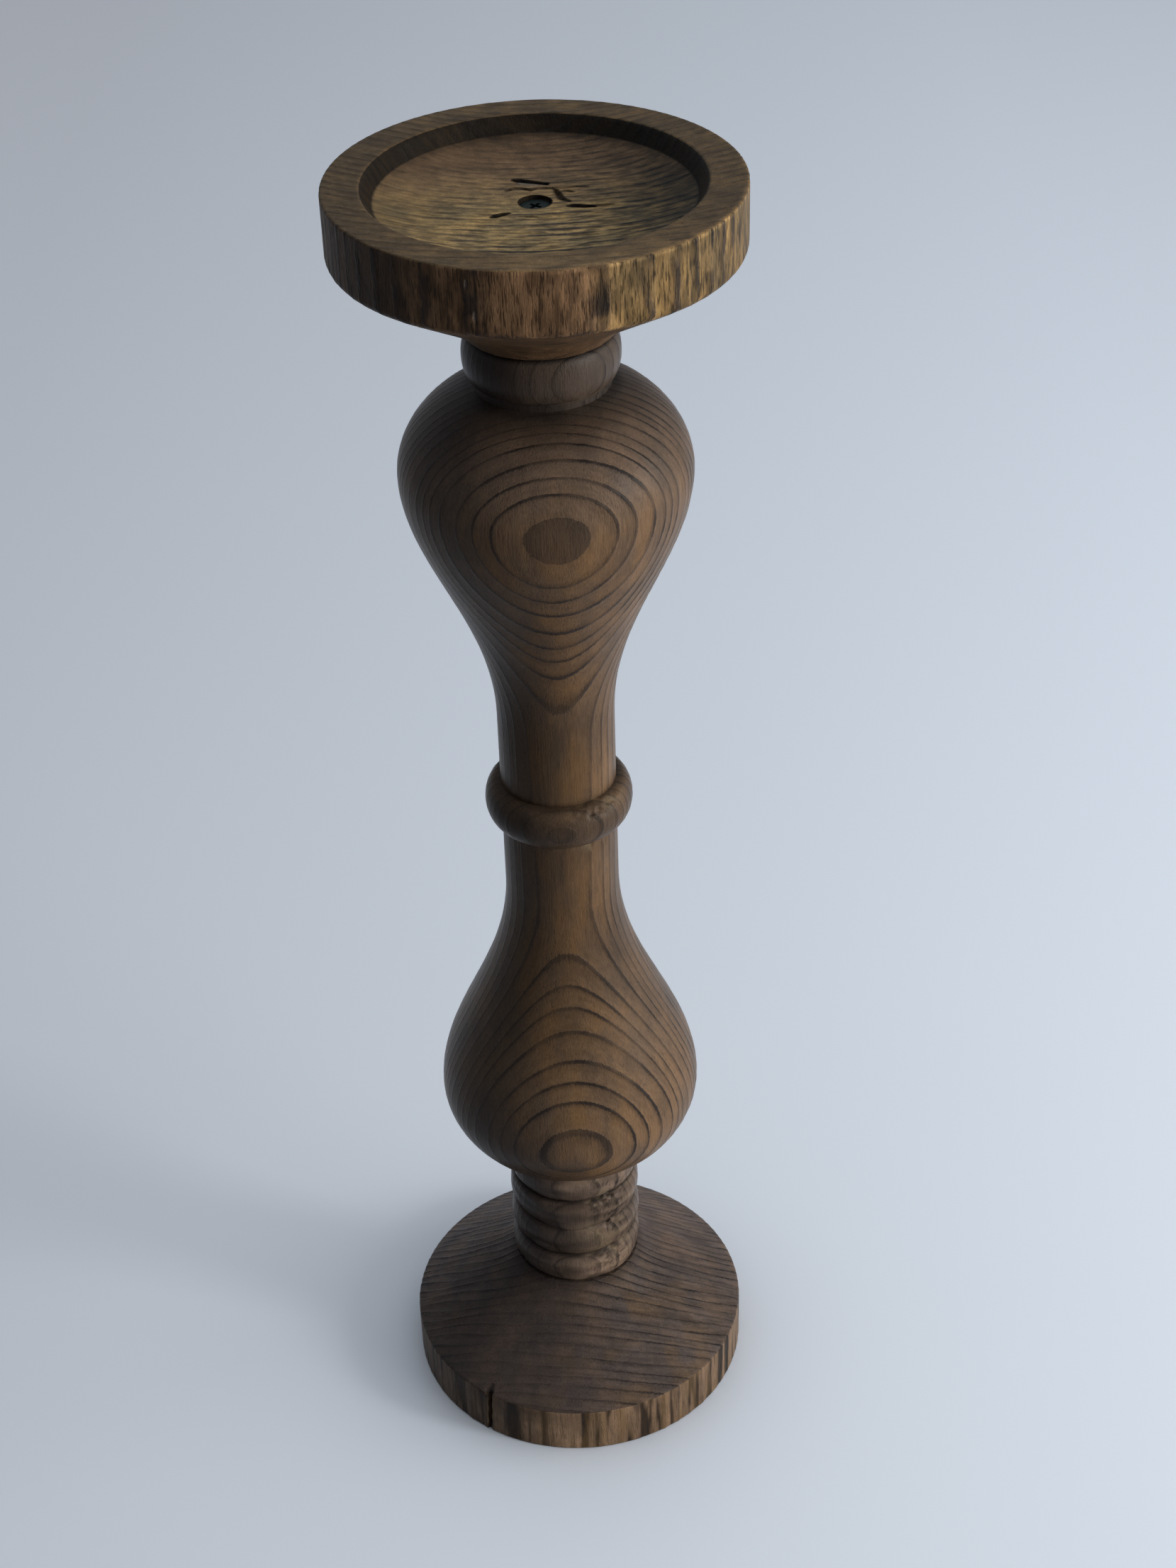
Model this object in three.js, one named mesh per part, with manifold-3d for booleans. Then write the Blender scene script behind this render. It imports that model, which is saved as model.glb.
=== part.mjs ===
// A tall candle holder of turned wood: a dish on a double-baluster column on a round base.
// The dish and the base each sit on a tenon of the column and are held by a countersunk wood screw.
// Units are millimetres, +Z is up, and the origin is the centre of the base's underside.

import * as THREE from 'three';
import { mergeVertices } from 'three/addons/utils/BufferGeometryUtils.js';
import Module from 'manifold-3d';

// Base
const BASE_RADIUS = 55.3;
const BASE_EDGE_HEIGHT = 17.4;
const BASE_CONE_RISE = 25.1;
const BASE_EDGE_ROUND = 0.8;

// Dish
const DISH_RADIUS = 55.5;
const DISH_EDGE_HEIGHT = 17.8;
const DISH_CONE_RISE = 23.4;
const DISH_RIM_ROUND = 0.8;
const DISH_LOWER_ROUND = 1.5;

// The cones of the dish and the base run straight from the edge, then sweep in a cove to the column
const JOINT_RADIUS = 20.6;
const COVE_WIDTH = 9.5;
const COVE_RISE = 8.2;

// Candle recess in the dish: a sloping wall, a floor that curves in, and a flat seat in the middle
const LIP_RADIUS = 45.3;
const LIP_ROUND = 0.6;
const FLOOR_RADIUS = 42.4;
const FLOOR_EDGE_DEPTH = 4.3;
const SEAT_RADIUS = 26;
const SEAT_DEPTH = 6.2;

// Column
const BEAD_CORE_RADIUS = 19;
const FOOT_BEAD_RADIUS = 21.2;
const FOOT_BEAD_HEIGHT = 12.15;
const FOOT_BEAD_COUNT = 4;
const FOOT_FILLET_HEIGHT = 1.2;
const BULB_RADIUS = 41;
const DOME_HEIGHT = 30;
const FLARE_LENGTH = 81;
const FLARE_BULB_HANDLE = 23.5;
const FLARE_NECK_HANDLE = 34.7;
const NECK_RADIUS = 17.3;
const NECK_LENGTH = 22.75;
const MIDDLE_BEAD_RADIUS = 22.1;
const MIDDLE_BEAD_HEIGHT = 14.4;
const COLLAR_FILLET_HEIGHT = 2.3;
const COLLAR_BEAD_RADIUS = 21.6;
const COLLAR_BEAD_HEIGHT = 13.5;

// Tenons of the column
const TOP_TENON_RADIUS = 8;
const TOP_TENON_LENGTH = 14;
const FOOT_TENON_RADIUS = 10;
const FOOT_TENON_LENGTH = 20;

// Wood screws
const SCREW_HEAD_RADIUS = 4;
const SCREW_SHANK_RADIUS = 1.6;
const SCREW_LENGTH = 50;
const SCREW_POINT_LENGTH = 6;
const CROSS_WIDTH = 1.1;
const CROSS_DEPTH = 1.3;
const CROSS_WALL = 0.5;
const DISH_SCREW_SINK = 1;
const BASE_SCREW_SINK = 8;

// Clearances
const SEAT_GAP = 0.3;
const TENON_CLEARANCE = 0.3;
const TENON_END_GAP = 0.5;
const SHANK_CLEARANCE = 0.3;
const HEAD_CLEARANCE = 0.4;
const COUNTERBORE_CLEARANCE = 2;
const PILOT_END_GAP = 1;

// Facets
const ROUND_STEPS = 48;
const SCREW_STEPS = 24;
const FOOT_BEAD_STEPS = 4;
const BEAD_STEPS = 6;
const DOME_STEPS = 6;
const FLARE_STEPS = 8;
const COVE_STEPS = 4;
const CORNER_STEPS = 2;
const FLOOR_STEPS = 4;
const SAME_POINT = 1e-5;

// Heights, worked out from the sizes above
const BASE_TOP = BASE_EDGE_HEIGHT + BASE_CONE_RISE;
const COLUMN_FOOT = BASE_TOP + SEAT_GAP;
const FOOT_BEADS_TOP = COLUMN_FOOT + FOOT_BEAD_COUNT * FOOT_BEAD_HEIGHT;
const DOME_END_ANGLE = Math.acos(BEAD_CORE_RADIUS / BULB_RADIUS);
const DOME_REACH = DOME_HEIGHT * Math.sin(DOME_END_ANGLE);
const LOWER_BULB = FOOT_BEADS_TOP + FOOT_FILLET_HEIGHT + DOME_REACH;
const LOWER_NECK = LOWER_BULB + FLARE_LENGTH;
const MIDDLE_BEAD_START = LOWER_NECK + NECK_LENGTH;
const MIDDLE_BEAD_END = MIDDLE_BEAD_START + MIDDLE_BEAD_HEIGHT;
const UPPER_NECK = MIDDLE_BEAD_END + NECK_LENGTH;
const UPPER_BULB = UPPER_NECK + FLARE_LENGTH;
const COLLAR_START = UPPER_BULB + DOME_REACH + COLLAR_FILLET_HEIGHT;
const COLUMN_TOP = COLLAR_START + COLLAR_BEAD_HEIGHT;
const DISH_FOOT = COLUMN_TOP + SEAT_GAP;
const DISH_EDGE_START = DISH_FOOT + DISH_CONE_RISE;
const DISH_TOP = DISH_EDGE_START + DISH_EDGE_HEIGHT;
const FLOOR_EDGE = DISH_TOP - FLOOR_EDGE_DEPTH;
const SEAT = DISH_TOP - SEAT_DEPTH;
const DISH_SCREW_TOP = SEAT - DISH_SCREW_SINK;

// Radii and reaches that follow from the sizes above
const COVE_RADIUS = JOINT_RADIUS + COVE_WIDTH;
const SHANK_HOLE_RADIUS = SCREW_SHANK_RADIUS + SHANK_CLEARANCE;
const HEAD_HOLE_RADIUS = SCREW_HEAD_RADIUS + HEAD_CLEARANCE;
const COUNTERBORE_RADIUS = HEAD_HOLE_RADIUS + COUNTERBORE_CLEARANCE;
const CROSS_LENGTH = 2 * (SCREW_HEAD_RADIUS - CROSS_DEPTH - CROSS_WALL);

const wasm = await Module();
wasm.setup();

// A point of a turned outline: its radius and its height
const at = (radius, height) => new THREE.Vector2(radius, height);

// Strings points and sampled curves together into one outline, with no point twice running
function outlineOf(pieces) {
  const points = [];
  for (const piece of pieces) {
    const samples = piece.curve ? piece.curve.getPoints(piece.steps) : [piece];
    for (const sample of samples) {
      const repeats = points.length > 0 && points.at(-1).distanceTo(sample) < SAME_POINT;
      if (!repeats) points.push(sample);
    }
  }
  return points;
}

// Turns an outline about the Z axis
function turned(pieces, steps) {
  return new THREE.LatheGeometry(outlineOf(pieces), steps).rotateX(Math.PI / 2);
}

// Rounds the corner between two neighbouring points
function rounded(before, corner, after, size) {
  const start = before.clone().sub(corner).setLength(size).add(corner);
  const end = after.clone().sub(corner).setLength(size).add(corner);
  return { curve: new THREE.QuadraticBezierCurve(start, corner, end), steps: CORNER_STEPS };
}

// A bead is half an ellipse that stands out from its core
function bead(core, crest, start, height, steps) {
  const middle = start + height / 2;
  const quarter = Math.PI / 2;
  const curve = new THREE.EllipseCurve(core, middle, crest - core, height / 2, -quarter, quarter);
  return { curve, steps };
}

// The dome of a bulb is an elliptical arc; angles are taken from the bulb's widest line
function dome(bulb, startAngle, endAngle) {
  const curve = new THREE.EllipseCurve(0, bulb, BULB_RADIUS, DOME_HEIGHT, startAngle, endAngle);
  return { curve, steps: DOME_STEPS };
}

// The flare from the lower bulb's widest line up to the neck, upright at both ends
function lowerFlare() {
  const curve = new THREE.CubicBezierCurve(
    at(BULB_RADIUS, LOWER_BULB),
    at(BULB_RADIUS, LOWER_BULB + FLARE_BULB_HANDLE),
    at(NECK_RADIUS, LOWER_NECK - FLARE_NECK_HANDLE),
    at(NECK_RADIUS, LOWER_NECK),
  );
  return { curve, steps: FLARE_STEPS };
}

// The same flare upside down, from the neck up to the upper bulb's widest line
function upperFlare() {
  const curve = new THREE.CubicBezierCurve(
    at(NECK_RADIUS, UPPER_NECK),
    at(NECK_RADIUS, UPPER_NECK + FLARE_NECK_HANDLE),
    at(BULB_RADIUS, UPPER_BULB - FLARE_BULB_HANDLE),
    at(BULB_RADIUS, UPPER_BULB),
  );
  return { curve, steps: FLARE_STEPS };
}

// How far the cove's handle lies from the joint's height, on the cone's line carried on into the cove
function coveHandleRise(edgeRadius, coneRise) {
  const slope = (coneRise - COVE_RISE) / (edgeRadius - COVE_RADIUS);
  return COVE_RISE - slope * COVE_WIDTH / 2;
}

// The wall of a countersunk screw's hole, from its mouth to the end of the cone.
// The screw goes in against the given sense: 1 from above, -1 from below.
function screwHole(mouth, mouthRadius, sink, sense) {
  const head = mouth - sense * sink;
  const seat = head - sense * SEAT_GAP * Math.SQRT2;
  const coneDepth = SCREW_HEAD_RADIUS - SHANK_HOLE_RADIUS;
  return [
    at(mouthRadius, mouth),
    at(mouthRadius, head),
    at(HEAD_HOLE_RADIUS, head),
    at(SCREW_HEAD_RADIUS, seat),
    at(SHANK_HOLE_RADIUS, seat - sense * coneDepth),
  ];
}

function dishGeometry() {
  const socketRadius = TOP_TENON_RADIUS + TENON_CLEARANCE;
  const socketEnd = COLUMN_TOP + TOP_TENON_LENGTH + TENON_END_GAP;
  const joint = at(JOINT_RADIUS, DISH_FOOT);
  const coveHandle = at(COVE_RADIUS - COVE_WIDTH / 2, DISH_FOOT + coveHandleRise(DISH_RADIUS, DISH_CONE_RISE));
  const coveEnd = at(COVE_RADIUS, DISH_FOOT + COVE_RISE);
  const lowerCorner = at(DISH_RADIUS, DISH_EDGE_START);
  const rimCorner = at(DISH_RADIUS, DISH_TOP);
  const lipCorner = at(LIP_RADIUS, DISH_TOP);
  const floorEdge = at(FLOOR_RADIUS, FLOOR_EDGE);
  const floorHandle = at((FLOOR_RADIUS + SEAT_RADIUS) / 2, SEAT);
  const seatEdge = at(SEAT_RADIUS, SEAT);
  const outline = [
    at(SHANK_HOLE_RADIUS, socketEnd),
    at(socketRadius, socketEnd),
    at(socketRadius, DISH_FOOT),
    { curve: new THREE.QuadraticBezierCurve(joint, coveHandle, coveEnd), steps: COVE_STEPS },
    rounded(coveEnd, lowerCorner, rimCorner, DISH_LOWER_ROUND),
    rounded(lowerCorner, rimCorner, lipCorner, DISH_RIM_ROUND),
    rounded(rimCorner, lipCorner, floorEdge, LIP_ROUND),
    { curve: new THREE.QuadraticBezierCurve(floorEdge, floorHandle, seatEdge), steps: FLOOR_STEPS },
    ...screwHole(SEAT, HEAD_HOLE_RADIUS, DISH_SCREW_SINK, 1),
    at(SHANK_HOLE_RADIUS, socketEnd),
  ];
  return turned(outline, ROUND_STEPS);
}

function columnGeometry() {
  const footTenonEnd = COLUMN_FOOT - FOOT_TENON_LENGTH;
  const topTenonEnd = COLUMN_TOP + TOP_TENON_LENGTH;
  const footPilotEnd = BASE_SCREW_SINK + SCREW_LENGTH + PILOT_END_GAP;
  const topPilotEnd = DISH_SCREW_TOP - SCREW_LENGTH - PILOT_END_GAP;
  const footBeads = [];
  for (let k = 0; k < FOOT_BEAD_COUNT; k += 1) {
    const start = COLUMN_FOOT + k * FOOT_BEAD_HEIGHT;
    footBeads.push(bead(BEAD_CORE_RADIUS, FOOT_BEAD_RADIUS, start, FOOT_BEAD_HEIGHT, FOOT_BEAD_STEPS));
  }
  const outline = [
    at(0, footPilotEnd),
    at(SHANK_HOLE_RADIUS, footPilotEnd - SHANK_HOLE_RADIUS),
    at(SHANK_HOLE_RADIUS, footTenonEnd),
    at(FOOT_TENON_RADIUS, footTenonEnd),
    at(FOOT_TENON_RADIUS, COLUMN_FOOT),
    ...footBeads,
    dome(LOWER_BULB, -DOME_END_ANGLE, 0),
    lowerFlare(),
    bead(NECK_RADIUS, MIDDLE_BEAD_RADIUS, MIDDLE_BEAD_START, MIDDLE_BEAD_HEIGHT, BEAD_STEPS),
    upperFlare(),
    dome(UPPER_BULB, 0, DOME_END_ANGLE),
    bead(BEAD_CORE_RADIUS, COLLAR_BEAD_RADIUS, COLLAR_START, COLLAR_BEAD_HEIGHT, BEAD_STEPS),
    at(TOP_TENON_RADIUS, COLUMN_TOP),
    at(TOP_TENON_RADIUS, topTenonEnd),
    at(SHANK_HOLE_RADIUS, topTenonEnd),
    at(SHANK_HOLE_RADIUS, topPilotEnd + SHANK_HOLE_RADIUS),
    at(0, topPilotEnd),
  ];
  return turned(outline, ROUND_STEPS);
}

function baseGeometry() {
  const socketRadius = FOOT_TENON_RADIUS + TENON_CLEARANCE;
  const socketEnd = COLUMN_FOOT - FOOT_TENON_LENGTH - TENON_END_GAP;
  const joint = at(JOINT_RADIUS, BASE_TOP);
  const coveHandle = at(COVE_RADIUS - COVE_WIDTH / 2, BASE_TOP - coveHandleRise(BASE_RADIUS, BASE_CONE_RISE));
  const coveEnd = at(COVE_RADIUS, BASE_TOP - COVE_RISE);
  const counterboreMouth = at(COUNTERBORE_RADIUS, 0);
  const lowerCorner = at(BASE_RADIUS, 0);
  const upperCorner = at(BASE_RADIUS, BASE_EDGE_HEIGHT);
  const outline = [
    at(SHANK_HOLE_RADIUS, socketEnd),
    ...screwHole(0, COUNTERBORE_RADIUS, BASE_SCREW_SINK, -1).reverse(),
    rounded(counterboreMouth, lowerCorner, upperCorner, BASE_EDGE_ROUND),
    rounded(lowerCorner, upperCorner, coveEnd, BASE_EDGE_ROUND),
    { curve: new THREE.QuadraticBezierCurve(coveEnd, coveHandle, joint), steps: COVE_STEPS },
    at(socketRadius, BASE_TOP),
    at(socketRadius, socketEnd),
    at(SHANK_HOLE_RADIUS, socketEnd),
  ];
  return turned(outline, ROUND_STEPS);
}

// A closed solid from a three.js geometry, ready for cutting
function solidOf(geometry) {
  const bare = geometry.clone();
  bare.deleteAttribute('normal');
  bare.deleteAttribute('uv');
  const merged = mergeVertices(bare, SAME_POINT);
  const vertProperties = new Float32Array(merged.attributes.position.array);
  const triVerts = new Uint32Array(merged.index.array);
  return new wasm.Manifold(new wasm.Mesh({ numProp: 3, vertProperties, triVerts }));
}

// The three.js geometry of a cut solid
function geometryOf(solid) {
  const mesh = solid.getMesh();
  const geometry = new THREE.BufferGeometry();
  geometry.setAttribute('position', new THREE.BufferAttribute(new Float32Array(mesh.vertProperties), 3));
  geometry.setIndex(new THREE.BufferAttribute(new Uint32Array(mesh.triVerts), 1));
  geometry.computeVertexNormals();
  return geometry;
}

// A countersunk wood screw with a cross recess, the top of its head at height 0 and its point down
function screwGeometry() {
  const outline = [
    at(0, -SCREW_LENGTH),
    at(SCREW_SHANK_RADIUS, SCREW_POINT_LENGTH - SCREW_LENGTH),
    at(SCREW_SHANK_RADIUS, SCREW_SHANK_RADIUS - SCREW_HEAD_RADIUS),
    at(SCREW_HEAD_RADIUS, 0),
    at(0, 0),
  ];
  const arm = new THREE.BoxGeometry(CROSS_LENGTH, CROSS_WIDTH, 2 * CROSS_DEPTH);
  const otherArm = arm.clone().rotateZ(Math.PI / 2);
  const cross = solidOf(arm).add(solidOf(otherArm));
  const blank = solidOf(turned(outline, SCREW_STEPS));
  return geometryOf(blank.subtract(cross));
}

const WOOD = { roughness: 0.55, metalness: 0 };
const STEEL = { color: 0x4a5052, roughness: 0.4, metalness: 1 };

function piece(name, geometry, finish) {
  const mesh = new THREE.Mesh(geometry, new THREE.MeshStandardMaterial(finish));
  mesh.name = name;
  return mesh;
}

const dish = piece('dish', dishGeometry(), { ...WOOD, color: 0x8a6a3f });
const column = piece('column', columnGeometry(), { ...WOOD, color: 0x70502f });
const base = piece('base', baseGeometry(), { ...WOOD, color: 0x6a5238 });

const dishScrew = piece('dish_screw', screwGeometry(), STEEL);
dishScrew.position.z = DISH_SCREW_TOP;

const baseScrew = piece('base_screw', screwGeometry(), STEEL);
baseScrew.rotation.x = Math.PI;
baseScrew.position.z = BASE_SCREW_SINK;

const candleHolder = new THREE.Group();
candleHolder.add(dish, column, base, dishScrew, baseScrew);

export default candleHolder;
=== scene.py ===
# %% [markdown]
# # A turned wooden candle holder
# A dish for a pillar candle stands on a column with two bulbs, and the column stands on a round base.
# All three are softwood turned on a lathe and stained dark, and a screw pulls each end together.
# This lesson builds each piece as a lathe would: an outline is drawn once and swept round the axis.
# The model of the solids is loaded first, because it fixes where every piece sits and how large it is.

# %% Load the solids and keep their box
import math

import bpy
import numpy as np
from mathutils import Matrix, Vector, noise


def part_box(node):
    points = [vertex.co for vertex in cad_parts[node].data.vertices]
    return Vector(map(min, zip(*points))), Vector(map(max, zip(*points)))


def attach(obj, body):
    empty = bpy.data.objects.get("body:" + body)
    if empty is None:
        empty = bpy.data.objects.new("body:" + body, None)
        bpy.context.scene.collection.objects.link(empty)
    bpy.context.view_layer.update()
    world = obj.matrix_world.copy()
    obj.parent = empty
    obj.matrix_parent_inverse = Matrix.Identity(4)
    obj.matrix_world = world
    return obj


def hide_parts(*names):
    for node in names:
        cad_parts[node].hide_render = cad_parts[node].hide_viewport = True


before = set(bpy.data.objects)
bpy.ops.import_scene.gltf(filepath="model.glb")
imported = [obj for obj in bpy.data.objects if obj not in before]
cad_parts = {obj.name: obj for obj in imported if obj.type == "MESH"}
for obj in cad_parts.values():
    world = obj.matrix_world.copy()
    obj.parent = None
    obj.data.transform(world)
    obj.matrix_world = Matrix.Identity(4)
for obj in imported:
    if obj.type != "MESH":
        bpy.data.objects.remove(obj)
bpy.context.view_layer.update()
MM = 0.001

# %% [markdown]
# ## Heights and widths
# The real object stands on its base, so every height is read upwards from the table in millimetres.
# The boxes of the solids give the outer sizes, and the few numbers that a box can't give are written
# here. Keeping them together means that a change in one place moves everything that depends on it.

# %% Sizes of the three turned pieces
def top_of(node):
    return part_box(node)[1].z / MM


def foot_of(node):
    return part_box(node)[0].z / MM


def radius_of(node):
    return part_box(node)[1].x / MM


BASE_RADIUS, BASE_TOP = radius_of("base"), top_of("base")
BASE_EDGE_HEIGHT, BASE_EDGE_ROUND = 17.4, 0.8
DISH_RADIUS, DISH_TOP, DISH_FOOT = radius_of("dish"), top_of("dish"), foot_of("dish")
DISH_EDGE_START = DISH_TOP - 17.8
RIM_ROUND, LOWER_ROUND = 0.8, 1.5
JOINT_RADIUS, COVE_WIDTH, COVE_RISE = 20.6, 9.5, 8.2
LIP_RADIUS, LIP_ROUND, FLOOR_RADIUS, SEAT_RADIUS = 45.3, 0.6, 42.4, 26.0
FLOOR_EDGE, SEAT = DISH_TOP - 4.3, DISH_TOP - 6.2
SEAT_GAP, SOCKET_END_GAP, PILOT_END_GAP = 0.3, 0.5, 1.0
COLUMN_FOOT, COLUMN_TOP = BASE_TOP + SEAT_GAP, DISH_FOOT - SEAT_GAP
FOOT_TENON_END, TOP_TENON_END = foot_of("column"), top_of("column")
FOOT_TENON_RADIUS, TOP_TENON_RADIUS, TENON_CLEARANCE = 10.0, 8.0, 0.3
SHANK_HOLE, HEAD_HOLE, COUNTERBORE = 1.9, 4.4, 6.4
SCREW_HEAD, SCREW_HEAD_EDGE, SCREW_SHANK, SCREW_LENGTH = 4.0, 0.42, 1.6, 50.0
DISH_SCREW_TOP, BASE_SCREW_TOP = top_of("dish_screw"), foot_of("base_screw")
print("dish", DISH_RADIUS, "mm round, base", BASE_RADIUS, "mm, top at", DISH_TOP, "mm")

# %% Heights along the column
BEAD_CORE, FOOT_BEAD, FOOT_BEAD_HEIGHT, FOOT_BEADS, FOOT_NECK = 19.0, 21.2, 12.15, 4, 1.2
BULB_RADIUS, DOME_HEIGHT = radius_of("column"), 30.0
FLARE_LENGTH, BULB_HANDLE, NECK_HANDLE = 81.0, 23.5, 34.7
NECK_RADIUS, NECK_LENGTH, MIDDLE_BEAD, MIDDLE_BEAD_HEIGHT = 17.3, 22.75, 22.1, 14.4
COLLAR_BEAD, COLLAR_BEAD_HEIGHT = 21.6, 13.5
DOME_ANGLE = math.acos(BEAD_CORE / BULB_RADIUS)
DOME_REACH = DOME_HEIGHT * math.sin(DOME_ANGLE)
FOOT_BEADS_TOP = COLUMN_FOOT + FOOT_BEADS * FOOT_BEAD_HEIGHT
LOWER_BULB = FOOT_BEADS_TOP + FOOT_NECK + DOME_REACH
LOWER_NECK = LOWER_BULB + FLARE_LENGTH
MIDDLE_START = LOWER_NECK + NECK_LENGTH
MIDDLE_END = MIDDLE_START + MIDDLE_BEAD_HEIGHT
MIDDLE = (MIDDLE_START + MIDDLE_END) / 2
UPPER_NECK = MIDDLE_END + NECK_LENGTH
UPPER_BULB = UPPER_NECK + FLARE_LENGTH
CREASE = UPPER_BULB + DOME_REACH
COLLAR_START = COLUMN_TOP - COLLAR_BEAD_HEIGHT
print("bulbs at", round(LOWER_BULB, 1), "and", round(UPPER_BULB, 1), "mm")
print("collar from", round(COLLAR_START, 1), "to", round(COLUMN_TOP, 1), "mm")

# %% [markdown]
# ## Drawing an outline
# A turner cuts beads, coves and straight faces, so an outline is a chain of lines, ellipse arcs and
# Bezier curves. A modifier could sweep a drawn curve too, but arrays keep the radius and height of every
# point at hand, and later cells need them to tear, nick and split the wood in the right places.

# %% Lines, arcs and curves as arrays of radius and height
def count_for(length, step):
    return max(2, int(math.ceil(length / step)) + 1)


def line(start, end, step):
    n = count_for(math.dist(start, end), step)
    return np.linspace(start, end, n)


def arc(centre, size, start, end, step):
    n = count_for(max(size) * abs(end - start), step)
    turn = np.linspace(start, end, n)
    return np.column_stack([centre[0] + size[0] * np.cos(turn), centre[1] + size[1] * np.sin(turn)])


def curve(points, step):
    n = count_for(sum(math.dist(a, b) for a, b in zip(points, points[1:])), step)
    t = np.linspace(0, 1, n)[:, None]
    rows = [np.asarray(p, float)[None, :] for p in points]
    while len(rows) > 1:
        rows = [a * (1 - t) + b * t for a, b in zip(rows, rows[1:])]
    return rows[0]


print("a straight curve of 10 mm has", len(curve([(0, 0), (0, 10)], 0.5)), "points at a step of 0.5 mm")

# %% Rounded corners, beads and whole outlines
def rounded(before, corner, after, size, step=0.3):
    before, corner, after = (np.asarray(p, float) for p in (before, corner, after))
    start = corner + (before - corner) / np.linalg.norm(before - corner) * size
    end = corner + (after - corner) / np.linalg.norm(after - corner) * size
    return curve([start, corner, end], step)


def bead(core, crest, start, height, step):
    quarter = math.pi / 2
    return arc((core, start + height / 2), (crest - core, height / 2), -quarter, quarter, step)


def chain(*parts):
    """Joins points and rows of points, drops doubles and fills stretches that are too long."""
    double, longest = 1e-4, 4.0
    points = np.concatenate([np.atleast_2d(np.asarray(p, float)) for p in parts])
    points = points[np.r_[True, np.linalg.norm(np.diff(points, axis=0), axis=1) > double]]
    filled = [points[:1]]
    for a, b in zip(points, points[1:]):
        n = count_for(math.dist(a, b), longest)
        filled.append(np.linspace(a, b, n)[1:])
    return np.concatenate(filled)


print("a bead of 4 mm crest has", len(bead(19, 23, 0, 12, 0.6)), "points at a step of 0.6 mm")

# %% [markdown]
# ## Turning an outline
# On the lathe the wood spins and the tool follows the outline. Here the outline is copied to many angles
# and neighbours are joined with quads. Each point may then be pushed along its own surface normal, which
# is how splits, nicks and torn grain become real shape. Each piece also carries a flat map, unrolled like
# a label from a bottle: the angle runs across it and the distance along the outline runs up.

# %% Angles round the axis
def even_angles(count, *finer):
    """Angles all round, and closer ones about a centre where the shape is fine."""
    double = 2e-4
    angles = [np.arange(count) / count * 2 * math.pi]
    for centre, reach, step in finer:
        angles.append(centre + np.arange(-reach, reach + step / 2, step))
    angles = np.sort(np.concatenate(angles) % (2 * math.pi))
    return angles[np.r_[True, np.diff(angles) > double]]


print("48 even angles and finer ones about a centre make", len(even_angles(48, (1.0, 0.1, 0.02))))

# %% A mesh from points, faces and marks
SHARP_ANGLE = math.radians(40)


def made_mesh(name, points, quads, flat, marks):
    mesh = bpy.data.meshes.new(name)
    mesh.from_pydata(points.tolist(), [], quads.tolist())
    unrolled = mesh.uv_layers.new(name="OFBake")
    unrolled.data.foreach_set("uv", flat.astype(np.float32).ravel())
    for title, values in marks.items():
        layer = mesh.attributes.new(title, "FLOAT", "POINT")
        layer.data.foreach_set("value", values.astype(np.float32).ravel())
    mesh.shade_smooth()
    mesh.set_sharp_from_angle(angle=SHARP_ANGLE)
    piece = bpy.data.objects.new(name, mesh)
    bpy.context.scene.collection.objects.link(piece)
    print(name, len(points), "points,", len(quads), "faces")
    return piece


print("edges sharper than", round(math.degrees(SHARP_ANGLE)), "degrees stay crisp")

# %% Sweep an outline and join the neighbours
def stitched(name, outline, angles, closed, grid, marks):
    steps, rows = grid.shape[:2]
    number = np.arange(steps * rows).reshape(steps, rows)
    nxt = np.roll(number, -1, 0)
    if closed:
        number, nxt = (np.column_stack([n, n[:, :1]]) for n in (number, nxt))
    quads = np.stack([number[:, :-1], nxt[:, :-1], nxt[:, 1:], number[:, 1:]], 2).reshape(-1, 4)
    reach = np.r_[0, np.cumsum(np.linalg.norm(np.diff(outline, axis=0), axis=1))]
    if closed:
        reach = np.r_[reach, reach[-1] + math.dist(outline[-1], outline[0])]
    up = reach / reach[-1]
    across = np.r_[angles, 2 * math.pi + angles[0]] / (2 * math.pi) - angles[0] / (2 * math.pi)
    i, j = np.meshgrid(np.arange(steps), np.arange(len(up) - 1), indexing="ij")
    corners = [(i, j), (i + 1, j), (i + 1, j + 1), (i, j + 1)]
    flat = np.stack([np.stack([across[a], up[b]], 2) for a, b in corners], 2).reshape(-1, 2)
    return made_mesh(name, grid.reshape(-1, 3), quads, flat, marks)


def turned(name, outline, angles, closed, shape):
    """Sweeps an outline of (radius, height) rows in mm round the axis.

    shape(x, y, z) gives how far each point is pushed along its normal, and the marks that it carries."""
    ahead, behind = np.roll(outline, -1, 0), np.roll(outline, 1, 0)
    if not closed:
        ahead[-1], behind[0] = outline[-1], outline[0]
    along = ahead - behind
    normal = np.column_stack([along[:, 1], -along[:, 0]])
    normal /= np.maximum(np.linalg.norm(normal, axis=1), 1e-9)[:, None]
    c, s = np.cos(angles)[:, None], np.sin(angles)[:, None]
    r, h = outline[None, :, 0], outline[None, :, 1]
    x, y, z = r * c, r * s, h + 0 * c
    push, marks = shape(x, y, z)
    x = x + push * normal[None, :, 0] * c
    y = y + push * normal[None, :, 0] * s
    z = z + push * normal[None, :, 1]
    return stitched(name, outline, angles, closed, np.stack([x, y, z], 2) * MM, marks)


print("a bead swept round 48 angles takes", 48 * len(bead(19, 23, 0, 12, 0.6)), "points")

# %% [markdown]
# ## Growth rings as numbers
# Softwood shows a pale, soft band for each spring and a thin, hard, dark line for each summer's end.
# In this log the heart lies far behind the object, so the rings cross it as nearly flat upright sheets
# that face the viewer, and a bulb cut through them shows nested ovals. One formula gives how deep a point
# lies in the log. The mesh uses it for relief and the wood's material uses the same formula for colour,
# so the two agree everywhere without any picture.

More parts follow.
